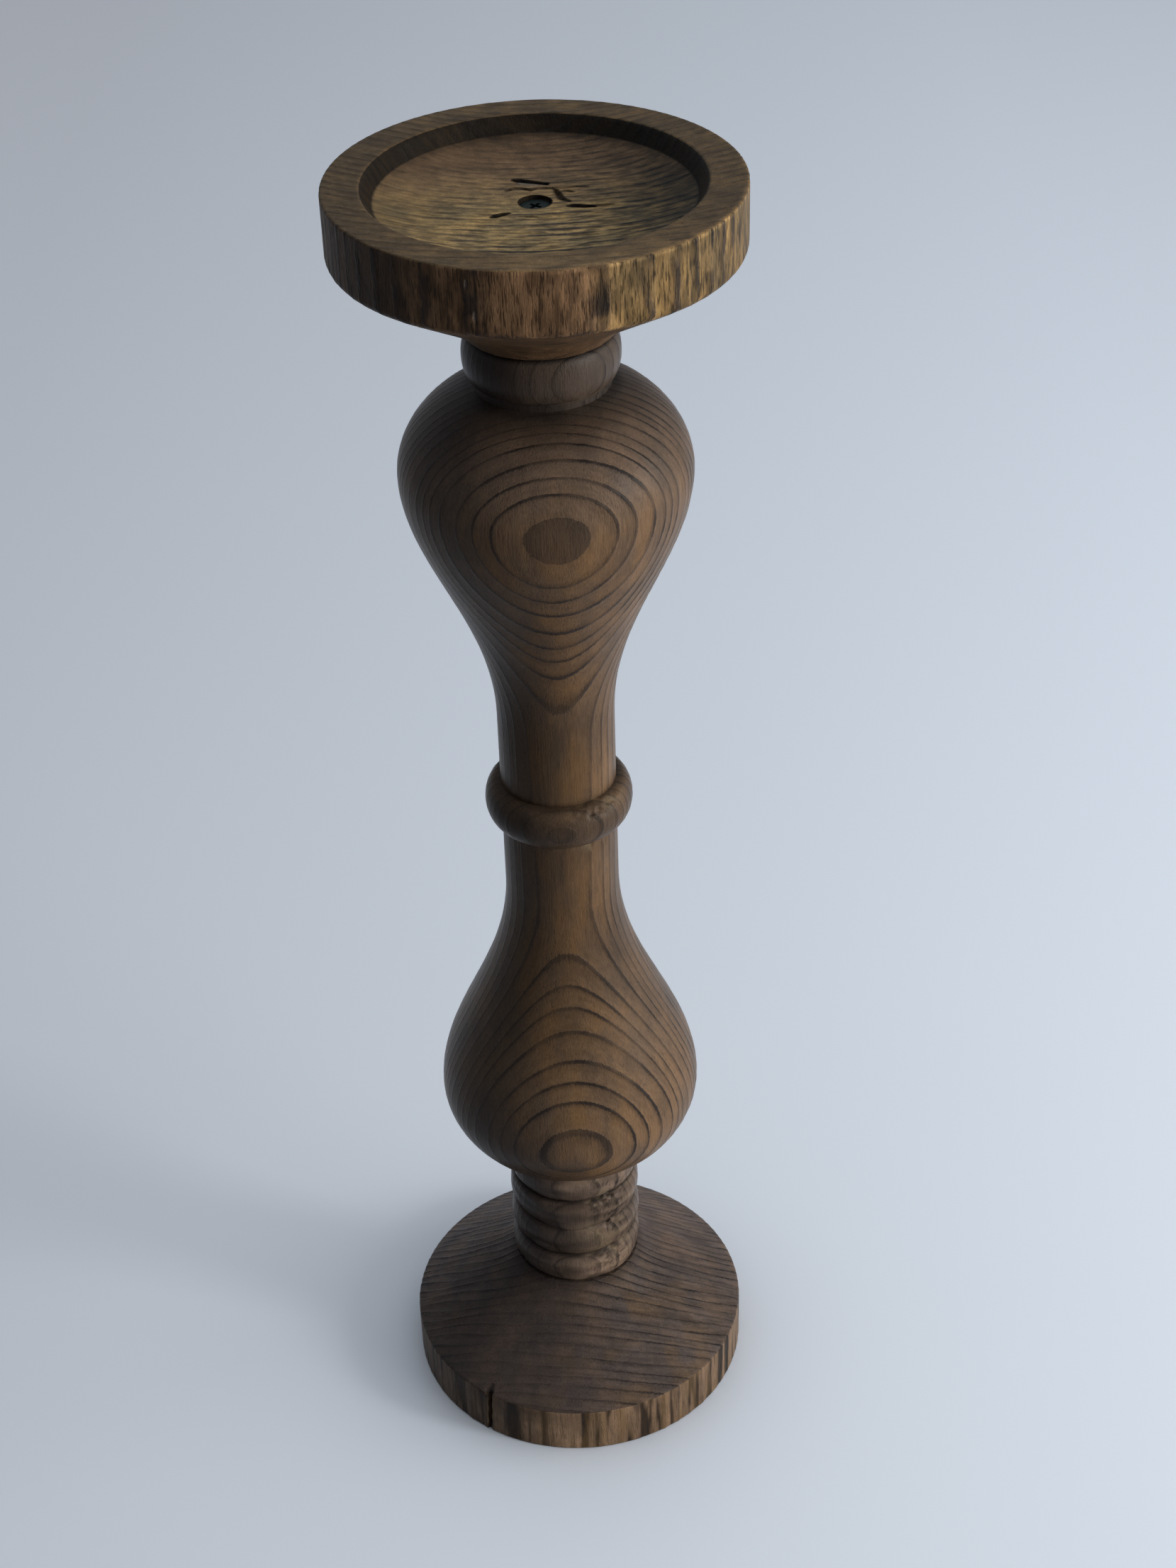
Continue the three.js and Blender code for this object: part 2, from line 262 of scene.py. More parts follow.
# %% Where a point lies among the rings
# how far the worn wood stands up across one ring, from soft spring wood to the hard summer line
RIDGE_PLACES = [0.0, 0.08, 0.4, 0.75, 0.9, 0.97, 1.0]
RIDGE_LEVELS = [0.35, 0.0, 0.05, 0.5, 1.0, 1.0, 0.35]
RIDGE_MEAN = 0.4


class Log:
    """The heart of the tree as seen from a piece, the ring spacing, and where the first ring lies.

    lean tilts the rings as they rise, waves are gentle bends of them (x, y, z, start, size), and twist is
    a height and how much they turn sideways above it."""

    def __init__(self, heart, spacing, first, lean, waves, twist=(1e6, 0.0)):
        self.heart, self.spacing, self.first, self.lean = heart, spacing, first, lean
        self.waves, self.twist = waves, twist

    def depth(self, x, y, z):
        depth = self.heart[1] - np.hypot(x - self.heart[0], y - self.heart[1]) + self.lean * z
        depth = depth + self.twist[1] * x * (z > self.twist[0])
        for kx, ky, kz, start, size in self.waves:
            depth = depth + size * np.sin(kx * x + ky * y + kz * z + start)
        return depth

    def relief(self, x, y, z):
        place = np.mod((self.depth(x, y, z) - self.first) / self.spacing, 1.0)
        return np.interp(place, RIDGE_PLACES, RIDGE_LEVELS) - RIDGE_MEAN


column_log = Log((-10, 420), 2.97, -42.46, -0.0058, [
    (0.020, 0.0, 0.0075, 0.43, 1.2), (0.0, 0.503, 0.004, 17.15, 0.5), (0.09, 0.1, 0.03, 2.0, 0.12),
], twist=(COLLAR_START - 1.0, -0.45))
dish_log = Log((2.2, 100), 3.3, -56.8, 0.0, [
    (0.05, 0.0, 0.02, 1.1, 0.22), (0.17, 0.05, 0.03, 2.6, 0.14),
])
base_log = Log((15, 125), 2.9, -54.2, 0.01, [
    (0.06, 0.0, 0.02, 0.4, 0.55), (0.0, 0.47, 0.0, 2.2, 0.45), (0.21, 0.11, 0.05, 1.2, 0.08),
])
front_depth = float(column_log.depth(0, -BULB_RADIUS, UPPER_BULB))
print("depth at the front of the upper bulb", round(front_depth, 2), "mm")

# %% [markdown]
# ## Splits in the dish
# The floor of the dish has split round the screw as the wood dried. The splits could be painted, but a
# painted line stays bright under a low lamp. Cut into the mesh they hold real shadow, so their lines are
# kept as short chains of points and the floor is pushed down along them. Their insides and a thin band
# beside them are also painted dark, as dirt and painted shade.

# %% Splits and a lifted sliver
# each split: its chain of places on the floor, its half width and its depth
SPLITS = [
    ([(-5.4, 14.6), (-3.5, 13.8), (-1.3, 13.0), (0.6, 12.2), (3.2, 11.4)], 0.95, 2.0),
    ([(-7.3, 7.8), (-5.4, 9.3), (-3.4, 8.9), (-1.1, 7.8), (1.1, 8.9), (4.2, 8.6), (6.0, 7.2)], 0.45, 0.8),
    ([(5.4, 7.2), (6.3, 4.3), (6.9, 1.6), (8.8, -0.2)], 0.7, 1.1),
    ([(7.2, 6.5), (8.5, 6.5), (9.9, 5.6)], 0.4, 0.6),
    ([(8.6, -3.4), (10.2, -3.2), (12.2, -3.7), (15.2, -4.1)], 0.85, 1.8),
    ([(15.0, -3.9), (17.4, -3.5), (20.0, -3.3)], 0.3, 0.5),
    ([(-11.2, -8.7), (-9.9, -8.0), (-8.5, -7.2), (-7.0, -6.7)], 0.75, 1.6),
    ([(-4.0, -8.8), (-0.4, -9.4), (0.9, -10.0), (3.9, -9.5)], 0.28, 0.4),
    ([(4.4, 9.0), (7.4, 8.3), (10.4, 8.9), (13.8, 8.8)], 0.28, 0.4),
]
SLIVER = ([(-5.0, 12.2), (-3.3, 11.5), (-1.2, 10.9), (2.6, 10.2)], 0.9, 0.35)


def distance_to(chain_of_points, x, y):
    """Distance in mm from each place to a chain of points, and how far along it that is, 0 to 1."""
    best, where = np.full(x.shape, 1e9), np.zeros(x.shape)
    count = len(chain_of_points) - 1
    for k, ((ax, ay), (bx, by)) in enumerate(zip(chain_of_points, chain_of_points[1:])):
        dx, dy = bx - ax, by - ay
        t = np.clip(((x - ax) * dx + (y - ay) * dy) / (dx * dx + dy * dy), 0, 1)
        d = np.hypot(x - ax - t * dx, y - ay - t * dy)
        where = np.where(d < best, (k + t) / count, where)
        best = np.minimum(best, d)
    return best, where


print(len(SPLITS), "splits round the screw, the deepest", max(s[2] for s in SPLITS), "mm")

# %% Push the floor down along the splits
DARK_BESIDE, DARK_FADE = 0.22, 0.35


def ends_fade(where):
    return np.clip(6 * where, 0, 1) * np.clip(4 * (1 - where), 0.15, 1)


def split_floor(x, y, z):
    """How far the floor is pushed by the splits, how dark they are, and how pale the sliver is."""
    push, dark = np.zeros(x.shape), np.zeros(x.shape)
    radius = np.hypot(x, y)
    on_floor = (radius < SEAT_RADIUS) & (z > SEAT - 0.05) & (radius > HEAD_HOLE + 0.01)
    for points, half, deep in SPLITS:
        d, where = distance_to(points, x, y)
        width = half * (0.45 + 0.55 * ends_fade(where))
        cut = np.clip(1 - d / width, 0, 1) ** 0.6
        push = np.minimum(push, -deep * cut)
        # the splits and a thin band beside them are painted dark: dirt and painted shade in the splits
        beside = np.clip(1 - (d - width - DARK_BESIDE) / DARK_FADE, 0, 1)
        dark = np.maximum(dark, beside * min(1.0, 0.3 + 0.5 * deep))
    points, half, high = SLIVER
    d, where = distance_to(points, x, y)
    lift = np.clip(1 - d / half, 0, 1)
    push = np.where(push < -0.02, push, high * lift * ends_fade(where))
    pale = lift * ends_fade(where)
    return push * on_floor, dark * on_floor, pale * on_floor


print("dark wood shows up to", round(DARK_BESIDE + DARK_FADE, 2), "mm beside a split")

# %% [markdown]
# ## The dish
# The dish is a thick disc with a straight edge, a cone underneath that sweeps into the column, and a
# shallow recess for the candle. The grain runs up and down, so the floor shows the ends of the fibres and
# the edge shows their sides. The outline is swept first. Then marks on its points say where the floor is
# worn pale and painted lighter towards the front left, where painted shade darkens the floor by the walls,
# the recess wall and the screw hole, where the edge is light or dark, where a painted highlight lights the
# rim's front right, and where two small nicks show bare wood.

# %% Outline of the dish
def cone_slope(edge_radius, rise):
    return (rise - COVE_RISE) / (edge_radius - JOINT_RADIUS - COVE_WIDTH)


def cove_handle(edge_radius, rise):
    return COVE_RISE - cone_slope(edge_radius, rise) * COVE_WIDTH / 2


def dish_outline():
    cone = DISH_EDGE_START - DISH_FOOT
    socket, socket_end = TOP_TENON_RADIUS + TENON_CLEARANCE, TOP_TENON_END + SOCKET_END_GAP
    cove_middle = (JOINT_RADIUS + COVE_WIDTH / 2, DISH_FOOT + cove_handle(DISH_RADIUS, cone))
    cove_end = (JOINT_RADIUS + COVE_WIDTH, DISH_FOOT + COVE_RISE)
    lower, rim = (DISH_RADIUS, DISH_EDGE_START), (DISH_RADIUS, DISH_TOP)
    lip, floor_edge = (LIP_RADIUS, DISH_TOP), (FLOOR_RADIUS, FLOOR_EDGE)
    wall_start = (LIP_RADIUS - 0.45, DISH_TOP - 0.6)
    head_edge = DISH_SCREW_TOP - SCREW_HEAD_EDGE
    return chain(
        (SHANK_HOLE, socket_end), (socket, socket_end), (socket, DISH_FOOT),
        curve([(JOINT_RADIUS, DISH_FOOT), cove_middle, cove_end], 0.8),
        line(cove_end, lower, 0.9)[1:-2],
        rounded(cove_end, lower, rim, LOWER_ROUND),
        line((DISH_RADIUS, DISH_EDGE_START + LOWER_ROUND), (DISH_RADIUS, DISH_TOP - RIM_ROUND), 0.6),
        rounded(lower, rim, lip, RIM_ROUND),
        line((DISH_RADIUS - RIM_ROUND, DISH_TOP), (LIP_RADIUS + LIP_ROUND, DISH_TOP), 0.7),
        rounded(rim, lip, floor_edge, LIP_ROUND, 0.2),
        line(wall_start, floor_edge, 0.5),
        curve([floor_edge, ((FLOOR_RADIUS + SEAT_RADIUS) / 2, SEAT), (SEAT_RADIUS, SEAT)], 0.7),
        line((SEAT_RADIUS, SEAT), (HEAD_HOLE, SEAT), 0.36),
        (HEAD_HOLE, DISH_SCREW_TOP), (SCREW_HEAD, head_edge),
        (SHANK_HOLE, head_edge - SCREW_HEAD + SHANK_HOLE), (SHANK_HOLE, socket_end + 0.01),
    )


print("the dish's outline has", len(dish_outline()), "points")

# %% Soft patches and noise on a turned surface
def away_from(angle, centre):
    """Signed angle from a centre, both measured round the axis, in degrees."""
    return np.degrees(np.angle(np.exp(1j * (angle - np.radians(centre)))))


def near(angle, centre, width):
    """1 at the centre angle, fading over a width in degrees."""
    return np.exp(-(away_from(angle, centre) / width) ** 2)


def band(z, height, reach):
    """1 at a height, fading over a reach in mm."""
    return np.exp(-((z - height) / reach) ** 2)


def around(angle, level, *patches):
    """A level that changes near some angles. Each patch is an angle, a width and a change."""
    return level + sum(change * near(angle, centre, width) for centre, width, change in patches)


def grainy(x, y, z, scale_xy, scale_z):
    """Smooth noise from -1 to 1, long in z where scale_z is large."""
    places = np.column_stack([(x / scale_xy).ravel(), (y / scale_xy).ravel(), (z / scale_z).ravel()])
    return np.array([noise.noise(Vector(p)) for p in places]).reshape(x.shape)


print("a patch of 20 degrees has faded to", round(float(near(math.radians(30), 0, 20)), 2), "at 30")

# %% Colour, painted light and painted shade of the dish
PALEST_X, PALEST_Y, PALE_REACH = -9, -17, 40


def dish_tone(x, y, z, angle, radius, edge):
    """How light the colour is, with painted light and shade in it, how clear the grain is, and the share of
    the second, redder stain.
    """
    # the floor is paler towards the front left: partly wear, partly painted light, as the walls shade its
    # right and back
    worn_and_lit = np.clip(1.35 - np.hypot(x - PALEST_X, y - PALEST_Y) / PALE_REACH, 0.0, 1.0)
    floor_tone = 0.52 + 2.35 * worn_and_lit + 0.45 * np.clip(y / 30, 0, 1)
    # painted shadow: the floor is darker beside the right wall and beside the back wall, as if shaded by
    # them
    floor_tone = floor_tone * (1 - 0.4 * near(angle, -2, 32) * np.clip((radius - 20) / 15, 0, 1))
    wall_shade = np.clip((radius - FLOOR_RADIUS + 3.5) / 2, 0, 1) * near(angle, 90, 60)
    floor_tone = floor_tone * (1 - 0.55 * wall_shade)
    rim_tone = around(angle, 0.88, (-90, 36, 0.6))
    # the inner wall of the recess is painted very dark, darkest at the back right: painted shade in the
    # recess
    wall_tone = around(angle, 0.11, (35, 55, -0.06))
    edge_tone = around(angle, 0.66, (-81, 18, 0.85), (-32, 40, 0.42), (-117, 12, 1.0))
    stripes = np.maximum(near(angle, -109, 1.9), 0.5 * near(angle, -73.5, 2.1))
    edge_tone = edge_tone * (1 - 0.4 * stripes)
    corner = (radius > DISH_RADIUS - 1.3) & (z > DISH_TOP - 0.9)
    on_floor = (radius < FLOOR_RADIUS) & (z > SEAT - 2)
    in_recess = (radius >= FLOOR_RADIUS - 0.3) & (radius < LIP_RADIUS)
    on_wall = in_recess & (z < DISH_TOP - 0.1) & (z > SEAT)
    below = z < DISH_EDGE_START - 0.5
    tone = np.where(on_floor, floor_tone, np.where(edge, edge_tone, np.where(below, 0.85, rim_tone)))
    # the rim's outer corner is a little lighter all round as wear, and much lighter at the front right as a
    # painted highlight
    tone = np.where(corner, tone * around(angle, 1.1, (-45, 45, 0.5)), tone)
    tone = np.where(on_wall, wall_tone, tone)
    front_right = (x - y) / (1.414 * FLOOR_RADIUS)
    floor_figure = np.clip(0.85 + 0.65 * front_right, 0.35, 1.35)
    figure = np.where(on_floor, floor_figure, np.where(edge, 0.95, 0.5))
    red_edge = 0.5 - 0.5 * np.tanh((x - 15) / 4)
    red_floor = np.clip((y + 4) / 34, 0, 0.9)
    second_colour = np.where(on_floor, red_floor, np.where(edge, red_edge, np.where(below, 0.9, 0.4)))
    return tone, figure, second_colour


print("the floor is worn palest about", (PALEST_X, PALEST_Y), "mm from the axis")

# %% Nicks and shape of the dish
# each nick in the edge: its angle, height, half width and half height
NICKS = [(-108.5, 421.0, 0.5, 1.3), (-106.6, 412.3, 0.55, 1.6)]
NICK_DEPTH, EDGE_STREAKS = 0.4, 0.08


def shape_dish(x, y, z):
    angle, radius = np.arctan2(y, x), np.hypot(x, y)
    push, dark, pale = split_floor(x, y, z)
    outside = (radius > JOINT_RADIUS - 1) | (z > SEAT - 0.02)
    relief = np.where(radius > DISH_RADIUS - 2, 0.05, 0.10) * dish_log.relief(x, y, z) * outside
    edge = (radius > DISH_RADIUS - 1.0) & (z > DISH_EDGE_START - 0.5) & (z < DISH_TOP - 0.3)
    streaks = grainy(x, y, z, 1.0, 20.0) * edge
    push = push + np.where(push < -0.02, 0, relief) + EDGE_STREAKS * streaks
    for place, height, half, tall in NICKS:
        off = DISH_RADIUS * np.radians(away_from(angle, place))
        chip = np.clip(1 - np.hypot(off / half, (z - height) / tall), 0, 1) * edge
        push = push - NICK_DEPTH * chip
        pale = np.maximum(pale, np.clip(2.5 * chip, 0, 1))
    tone, figure, second_colour = dish_tone(x, y, z, angle, radius, edge)
    tone = tone * (1 + 0.3 * streaks)
    # the screw hole below the floor is painted dark: painted shade in the hole
    in_hole = (radius < HEAD_HOLE + 0.05) & (z < SEAT + 0.02) & (z > DISH_SCREW_TOP - 4)
    dashes = np.where(edge, around(angle, 1.0, (-45, 30, 0.4)), 0.1)
    marks = {"dirt_and_shade": np.maximum(dark, in_hole), "bare_and_highlight": pale, "tone": tone}
    return push, marks | {"figure": figure, "second_colour": second_colour, "dashes": dashes}


dish_angles = even_angles(480, (math.radians(-107.5), math.radians(2.6), math.radians(0.16)))
dish = turned("dish_body", dish_outline(), dish_angles, True, shape_dish)

# %% [markdown]
# ## The column
# One stick carries four foot beads, two bulbs with a long flare between bulb and neck, a bead at mid
# height and a collar under the dish. The tenons at both ends are hidden but are modelled, so that the
# column is whole when it is taken apart.

# %% Outline of the column
def column_outline():
    feet = [COLUMN_FOOT + k * FOOT_BEAD_HEIGHT for k in range(FOOT_BEADS)]
    foot_beads = [bead(BEAD_CORE, FOOT_BEAD, foot, FOOT_BEAD_HEIGHT, 0.62) for foot in feet]
    bend, neck = (BULB_RADIUS, BULB_HANDLE), (NECK_RADIUS, FLARE_LENGTH)
    flare = [bend, (NECK_RADIUS, FLARE_LENGTH - NECK_HANDLE), neck]
    lower = [(BULB_RADIUS, LOWER_BULB)] + [(r, LOWER_BULB + z) for r, z in flare]
    upper = [(r, UPPER_BULB - z) for r, z in flare[::-1]] + [(BULB_RADIUS, UPPER_BULB)]
    pilot_low = BASE_SCREW_TOP + SCREW_LENGTH + PILOT_END_GAP
    pilot_high = DISH_SCREW_TOP - SCREW_LENGTH - PILOT_END_GAP
    return chain(
        (0, pilot_low), (SHANK_HOLE, pilot_low - SHANK_HOLE), (SHANK_HOLE, FOOT_TENON_END),
        (FOOT_TENON_RADIUS, FOOT_TENON_END), (FOOT_TENON_RADIUS, COLUMN_FOOT),
        *foot_beads,
        line((BEAD_CORE, FOOT_BEADS_TOP), (BEAD_CORE, FOOT_BEADS_TOP + FOOT_NECK), 0.6),
        arc((0, LOWER_BULB), (BULB_RADIUS, DOME_HEIGHT), -DOME_ANGLE, 0, 1.3),
        curve(lower, 1.7),
        line((NECK_RADIUS, LOWER_NECK), (NECK_RADIUS, MIDDLE_START), 1.6),
        bead(NECK_RADIUS, MIDDLE_BEAD, MIDDLE_START, MIDDLE_BEAD_HEIGHT, 0.62),
        line((NECK_RADIUS, MIDDLE_END), (NECK_RADIUS, UPPER_NECK), 1.6),
        curve(upper, 1.7),
        arc((0, UPPER_BULB), (BULB_RADIUS, DOME_HEIGHT), 0, DOME_ANGLE, 1.3),
        line((BEAD_CORE, CREASE), (BEAD_CORE, COLLAR_START), 0.6),
        bead(BEAD_CORE, COLLAR_BEAD, COLLAR_START, COLLAR_BEAD_HEIGHT, 0.6),
        (TOP_TENON_RADIUS, COLUMN_TOP), (TOP_TENON_RADIUS, TOP_TENON_END), (SHANK_HOLE, TOP_TENON_END),
        (SHANK_HOLE, pilot_high + SHANK_HOLE), (0, pilot_high),
    )


print("the column's outline has", len(column_outline()), "points")

# %% [markdown]
# ## Colour, painted light and wear on the column
# The colour is uneven: lighter on parts of the bulbs, darker at the necks, and greyer on the foot, the
# middle bead and the collar. Soft patches at a height and an angle describe it in a short list, and some of
# it is painted light and shade: shade under the dish and down the right side, bounce light on two foot
# beads, and the window's sheen and a bluish fill light in the greyer colour. Where the tool cut against
# the grain, on the front right and straight opposite, fibres tore out of the narrow grooves beside the
# beads, and one groove of the foot is almost gone at the front. Those places are pushed in or out with
# noise, and a mark on the points tells the material where dirt and painted shade lie and where bare wood
# shows.

# %% Colour, painted light and painted shade of the column
# each patch: its height, its reach up and down, its angle, its width, and the change in lightness
COLUMN_PATCHES = [
    (MIDDLE, 8, -28, 42, -0.12), (UPPER_NECK - 2, 22, -32, 30, 0.198), (LOWER_BULB, 34, -72, 45, 0.36),
    (UPPER_BULB - 10, 26, -72, 45, 0.22), (LOWER_BULB, 34, -25, 35, 0.16),
    (LOWER_NECK - 24, 24, -42, 34, -0.32), (UPPER_BULB + 9, 22, -128, 27, 1.0),
]
# painted bounce light: the top and the bottom foot beads are lighter at the front
FOOT_PAINTED_LIGHT = [(FOOT_BEADS_TOP - 6, 5, -88, 50, 0.9), (COLUMN_FOOT + 5, 5, -88, 50, 0.9)]


def patched(z, angle, patches):
    return sum(change * band(z, height, reach) * near(angle, centre, width)
               for height, reach, centre, width, change in patches)


def column_tone(z, angle):
    """How light the colour is, how clear the grain is, and the share of a greyer second colour, with painted
    light and shade in the lightness and the second colour.
    """
    collar = np.clip((z - (CREASE - 5)) / 4, 0, 1)
    foot = np.clip((FOOT_BEADS_TOP + 3 - z) / 6, 0, 1)
    middle_bead, waist = band(z, MIDDLE, 8), band(z, MIDDLE, 45)
    # painted shade: the collar is darker under the dish, most at the front left
    tone = 1.0 - around(angle, 0.36, (-130, 60, 0.3)) * collar
    tone = tone - 0.25 * middle_bead - 0.22 * band(z, UPPER_NECK - 2, 22)
    # painted shade: a band down the right side of the column, as seen from the front, is darker
    tone = (tone + patched(z, angle, COLUMN_PATCHES)) * (1 - 0.25 * near(angle, 8, 24))
    # painted bounce light on two foot beads
    tone = tone + patched(z, angle, FOOT_PAINTED_LIGHT)
    figure = (1.0 - 0.6 * near(angle, -165, 50)) * (1 - 0.25 * foot) * (1 - 0.45 * waist)
    figure = figure * (1 - around(angle, 0.35, (-118, 48, 0.5)) * collar)
    # the greyer second colour is painted light: the window's sheen on the right, and a bluish fill light on
    # the lower bulb's front left, the shoulder and the collar; it also greys the foot and the middle bead
    second_colour = np.maximum(0.25 * near(angle, -30, 38), 0.55 * band(z, LOWER_BULB, 34) * near(angle, -128, 30))
    for share in (0.8 * foot, 0.9 * collar, 0.7 * band(z, UPPER_BULB + 20, 16), 0.5 * middle_bead):
        second_colour = np.maximum(second_colour, share)
    return tone, figure, second_colour


print(len(COLUMN_PATCHES) + len(FOOT_PAINTED_LIGHT), "patches in the column's stain")

# %% Grooves with dirt, painted shade and torn fibres
# each groove: its height, and how dark it is, with dirt and painted shade
FOOT_GROOVE_DARKNESS = (0.35, 0.75, 0.35, 0.85, 0.45)
GROOVES = [(COLUMN_FOOT + k * FOOT_BEAD_HEIGHT, darkness) for k, darkness in enumerate(FOOT_GROOVE_DARKNESS)]
GROOVES += [(MIDDLE_START, 0.4), (MIDDLE_END, 0.5), (COLUMN_TOP, 0.9)]
TORN_FRONT, MERGED_GROOVE, MERGED_FRONT = -55.0, COLUMN_FOOT + 2 * FOOT_BEAD_HEIGHT, -97


def worn_and_shaded_grooves(x, y, z, angle):
    """Dirt and painted shade in the grooves, torn fibres below them, and where one groove of the foot is
    almost gone.
    """
    jagged = 2.2 * grainy(x, y, z, 2.4, 60.0) * near(angle, TORN_FRONT, 24) * (z < FOOT_BEADS_TOP + 2)
    merged = band(z, MERGED_GROOVE, 1.8) * near(angle, MERGED_FRONT, 20)
    groove_darkness, torn = np.zeros(x.shape), np.zeros(x.shape)
    for groove, darkness in GROOVES:
        below = groove - z + jagged
        filled = np.clip(1.3 - np.abs(below) / 1.1, 0, 1) * (1 - 0.85 * merged)
        groove_darkness = np.maximum(groove_darkness, darkness * filled)
        if groove < COLUMN_TOP:
            torn = np.maximum(torn, band(below, 1.7, 1.6))
    sides = np.maximum(near(angle, TORN_FRONT, 22), near(angle, TORN_FRONT + 180, 22))
    return groove_darkness, torn * sides, merged


print(len(GROOVES), "grooves, the lowest at", round(GROOVES[0][0], 1), "mm")

# %% Shade under the collar
def collar_shade(z, angle):
    """Painted shadow in the crease between the upper bulb and the collar and on the shoulder below it, least
    at the far left.
    """
    soft = 0.45 * np.clip(1 - np.abs(z - CREASE) / 9, 0, 1) * (z < COLLAR_START)
    deep = around(angle, 0.82, (TORN_FRONT, 34, -0.35)) * np.clip((z - CREASE + 2.2) / 1.6, 0, 1)
    shade = np.maximum(soft, deep * np.clip((COLLAR_START + 0.9 - z) / 0.6, 0, 1))
    return shade * (1 - 0.6 * near(angle, -150, 45))


print("the crease below the collar is at", round(CREASE, 1), "mm")

# %% Shape of the column
RING_RELIEF, FOOT_LUMPS, GROOVE_FILL, TEAR_DEPTH, SPLINTER = 0.11, 0.3, 1.1, 0.7, 0.2


def shape_column(x, y, z):
    angle, radius = np.arctan2(y, x), np.hypot(x, y)
    outside = (radius > TOP_TENON_RADIUS + 4) & (z > COLUMN_FOOT - 0.1) & (z < COLUMN_TOP + 0.1)
    groove_darkness, torn, merged = worn_and_shaded_grooves(x, y, z, angle)
    dirt_and_shade, torn = np.maximum(groove_darkness, collar_shade(z, angle)) * outside, torn * outside
    chips = np.clip(3.5 * (grainy(x, y, z, 2.2, 1.5) + 0.05), 0, 1)
    cracks = np.clip(1 - np.abs(grainy(x, y, z, 2.6, 1.7)) / 0.12, 0, 1) * near(angle, TORN_FRONT, 20)
    dirt_and_shade = np.maximum(dirt_and_shade, 0.95 * cracks * (z < FOOT_BEADS_TOP + 1) * outside)
    # a raised sliver along the collar's lower edge at the front right is painted pale: torn grain and a
    # painted highlight
    lifted = np.clip(1.1 - np.abs(z - COLLAR_START - 0.2) / 0.6, 0, 1)
    lifted = lifted * np.clip(near(angle, TORN_FRONT, 20) * 1.5 - 0.3, 0, 1)
    tone, figure, second_colour = column_tone(z, angle)
    on_foot = np.clip((FOOT_BEADS_TOP + 1 - z) / 3, 0, 1)
    blotches = grainy(x, y, z, 8.0, 2.6)
    tone = tone * (1 + 0.6 * blotches * on_foot)
    relief = RING_RELIEF * figure * column_log.relief(x, y, z) * outside
    push = relief + FOOT_LUMPS * blotches * on_foot * outside + GROOVE_FILL * merged
    push = push - TEAR_DEPTH * torn * chips + SPLINTER * lifted
    patchy = np.clip(2.5 * (grainy(x, y, z + 40, 5.0, 4.0) + 0.2), 0, 1)
    golden = 0.4 * np.clip(4 * (blotches - 0.08), 0, 1) * on_foot * near(angle, TORN_FRONT - 5, 32) * outside
    bare_and_highlight = np.maximum(0.6 * np.clip(1.3 * torn * chips * patchy, 0, 1), np.maximum(0.45 * lifted, golden))
    marks = {"dirt_and_shade": dirt_and_shade * (1 - bare_and_highlight), "bare_and_highlight": bare_and_highlight, "tone": tone, "figure": figure, "second_colour": second_colour}
    return push, marks | {"dashes": np.ones(x.shape)}


column = turned("column_stick", column_outline(), even_angles(262), False, shape_column)

# %% [markdown]
# ## The base
# The base is the dish's twin turned over: the same edge and cone, with a flat underside. One deep drying
# crack opens its edge at the front left. It is cut as a leaning groove between extra angles, because the
# evenly spaced ones lie too far apart for a line this thin. Upright bars of grain stand out on the edge,
# and golden wood shows between them at the front.

# %% Outline of the base
def base_outline():
    socket, socket_end = FOOT_TENON_RADIUS + TENON_CLEARANCE, FOOT_TENON_END - SOCKET_END_GAP
    cone = BASE_TOP - BASE_EDGE_HEIGHT
    cove_middle = (JOINT_RADIUS + COVE_WIDTH / 2, BASE_TOP - cove_handle(BASE_RADIUS, cone))
    cove_end = (JOINT_RADIUS + COVE_WIDTH, BASE_TOP - COVE_RISE)
    lower, upper = (BASE_RADIUS, 0), (BASE_RADIUS, BASE_EDGE_HEIGHT)
    head, head_edge = BASE_SCREW_TOP, BASE_SCREW_TOP + SCREW_HEAD_EDGE
    return chain(
        (SHANK_HOLE, socket_end), (SHANK_HOLE, head_edge + SCREW_HEAD - SHANK_HOLE), (SCREW_HEAD, head_edge),
        (HEAD_HOLE, head), (COUNTERBORE, head), (COUNTERBORE, 0),
        line((COUNTERBORE, 0), (BASE_RADIUS - BASE_EDGE_ROUND, 0), 3.0),
        rounded((COUNTERBORE, 0), lower, upper, BASE_EDGE_ROUND),
        line((BASE_RADIUS, BASE_EDGE_ROUND), (BASE_RADIUS, BASE_EDGE_HEIGHT - BASE_EDGE_ROUND), 0.6),
        rounded(lower, upper, cove_end, BASE_EDGE_ROUND),
        line(upper, cove_end, 0.5)[2:-1],
        curve([cove_end, cove_middle, (JOINT_RADIUS, BASE_TOP)], 0.6),
        (socket, BASE_TOP), (socket, socket_end), (SHANK_HOLE + 0.01, socket_end),
    )


print("the base's outline has", len(base_outline()), "points")

# %% The drying crack
CRACK_TOP, CRACK_FOOT, CRACK_HALF, CRACK_DEPTH, CHIP_DEPTH = -124.2, -124.95, 0.8, 3.6, 0.8


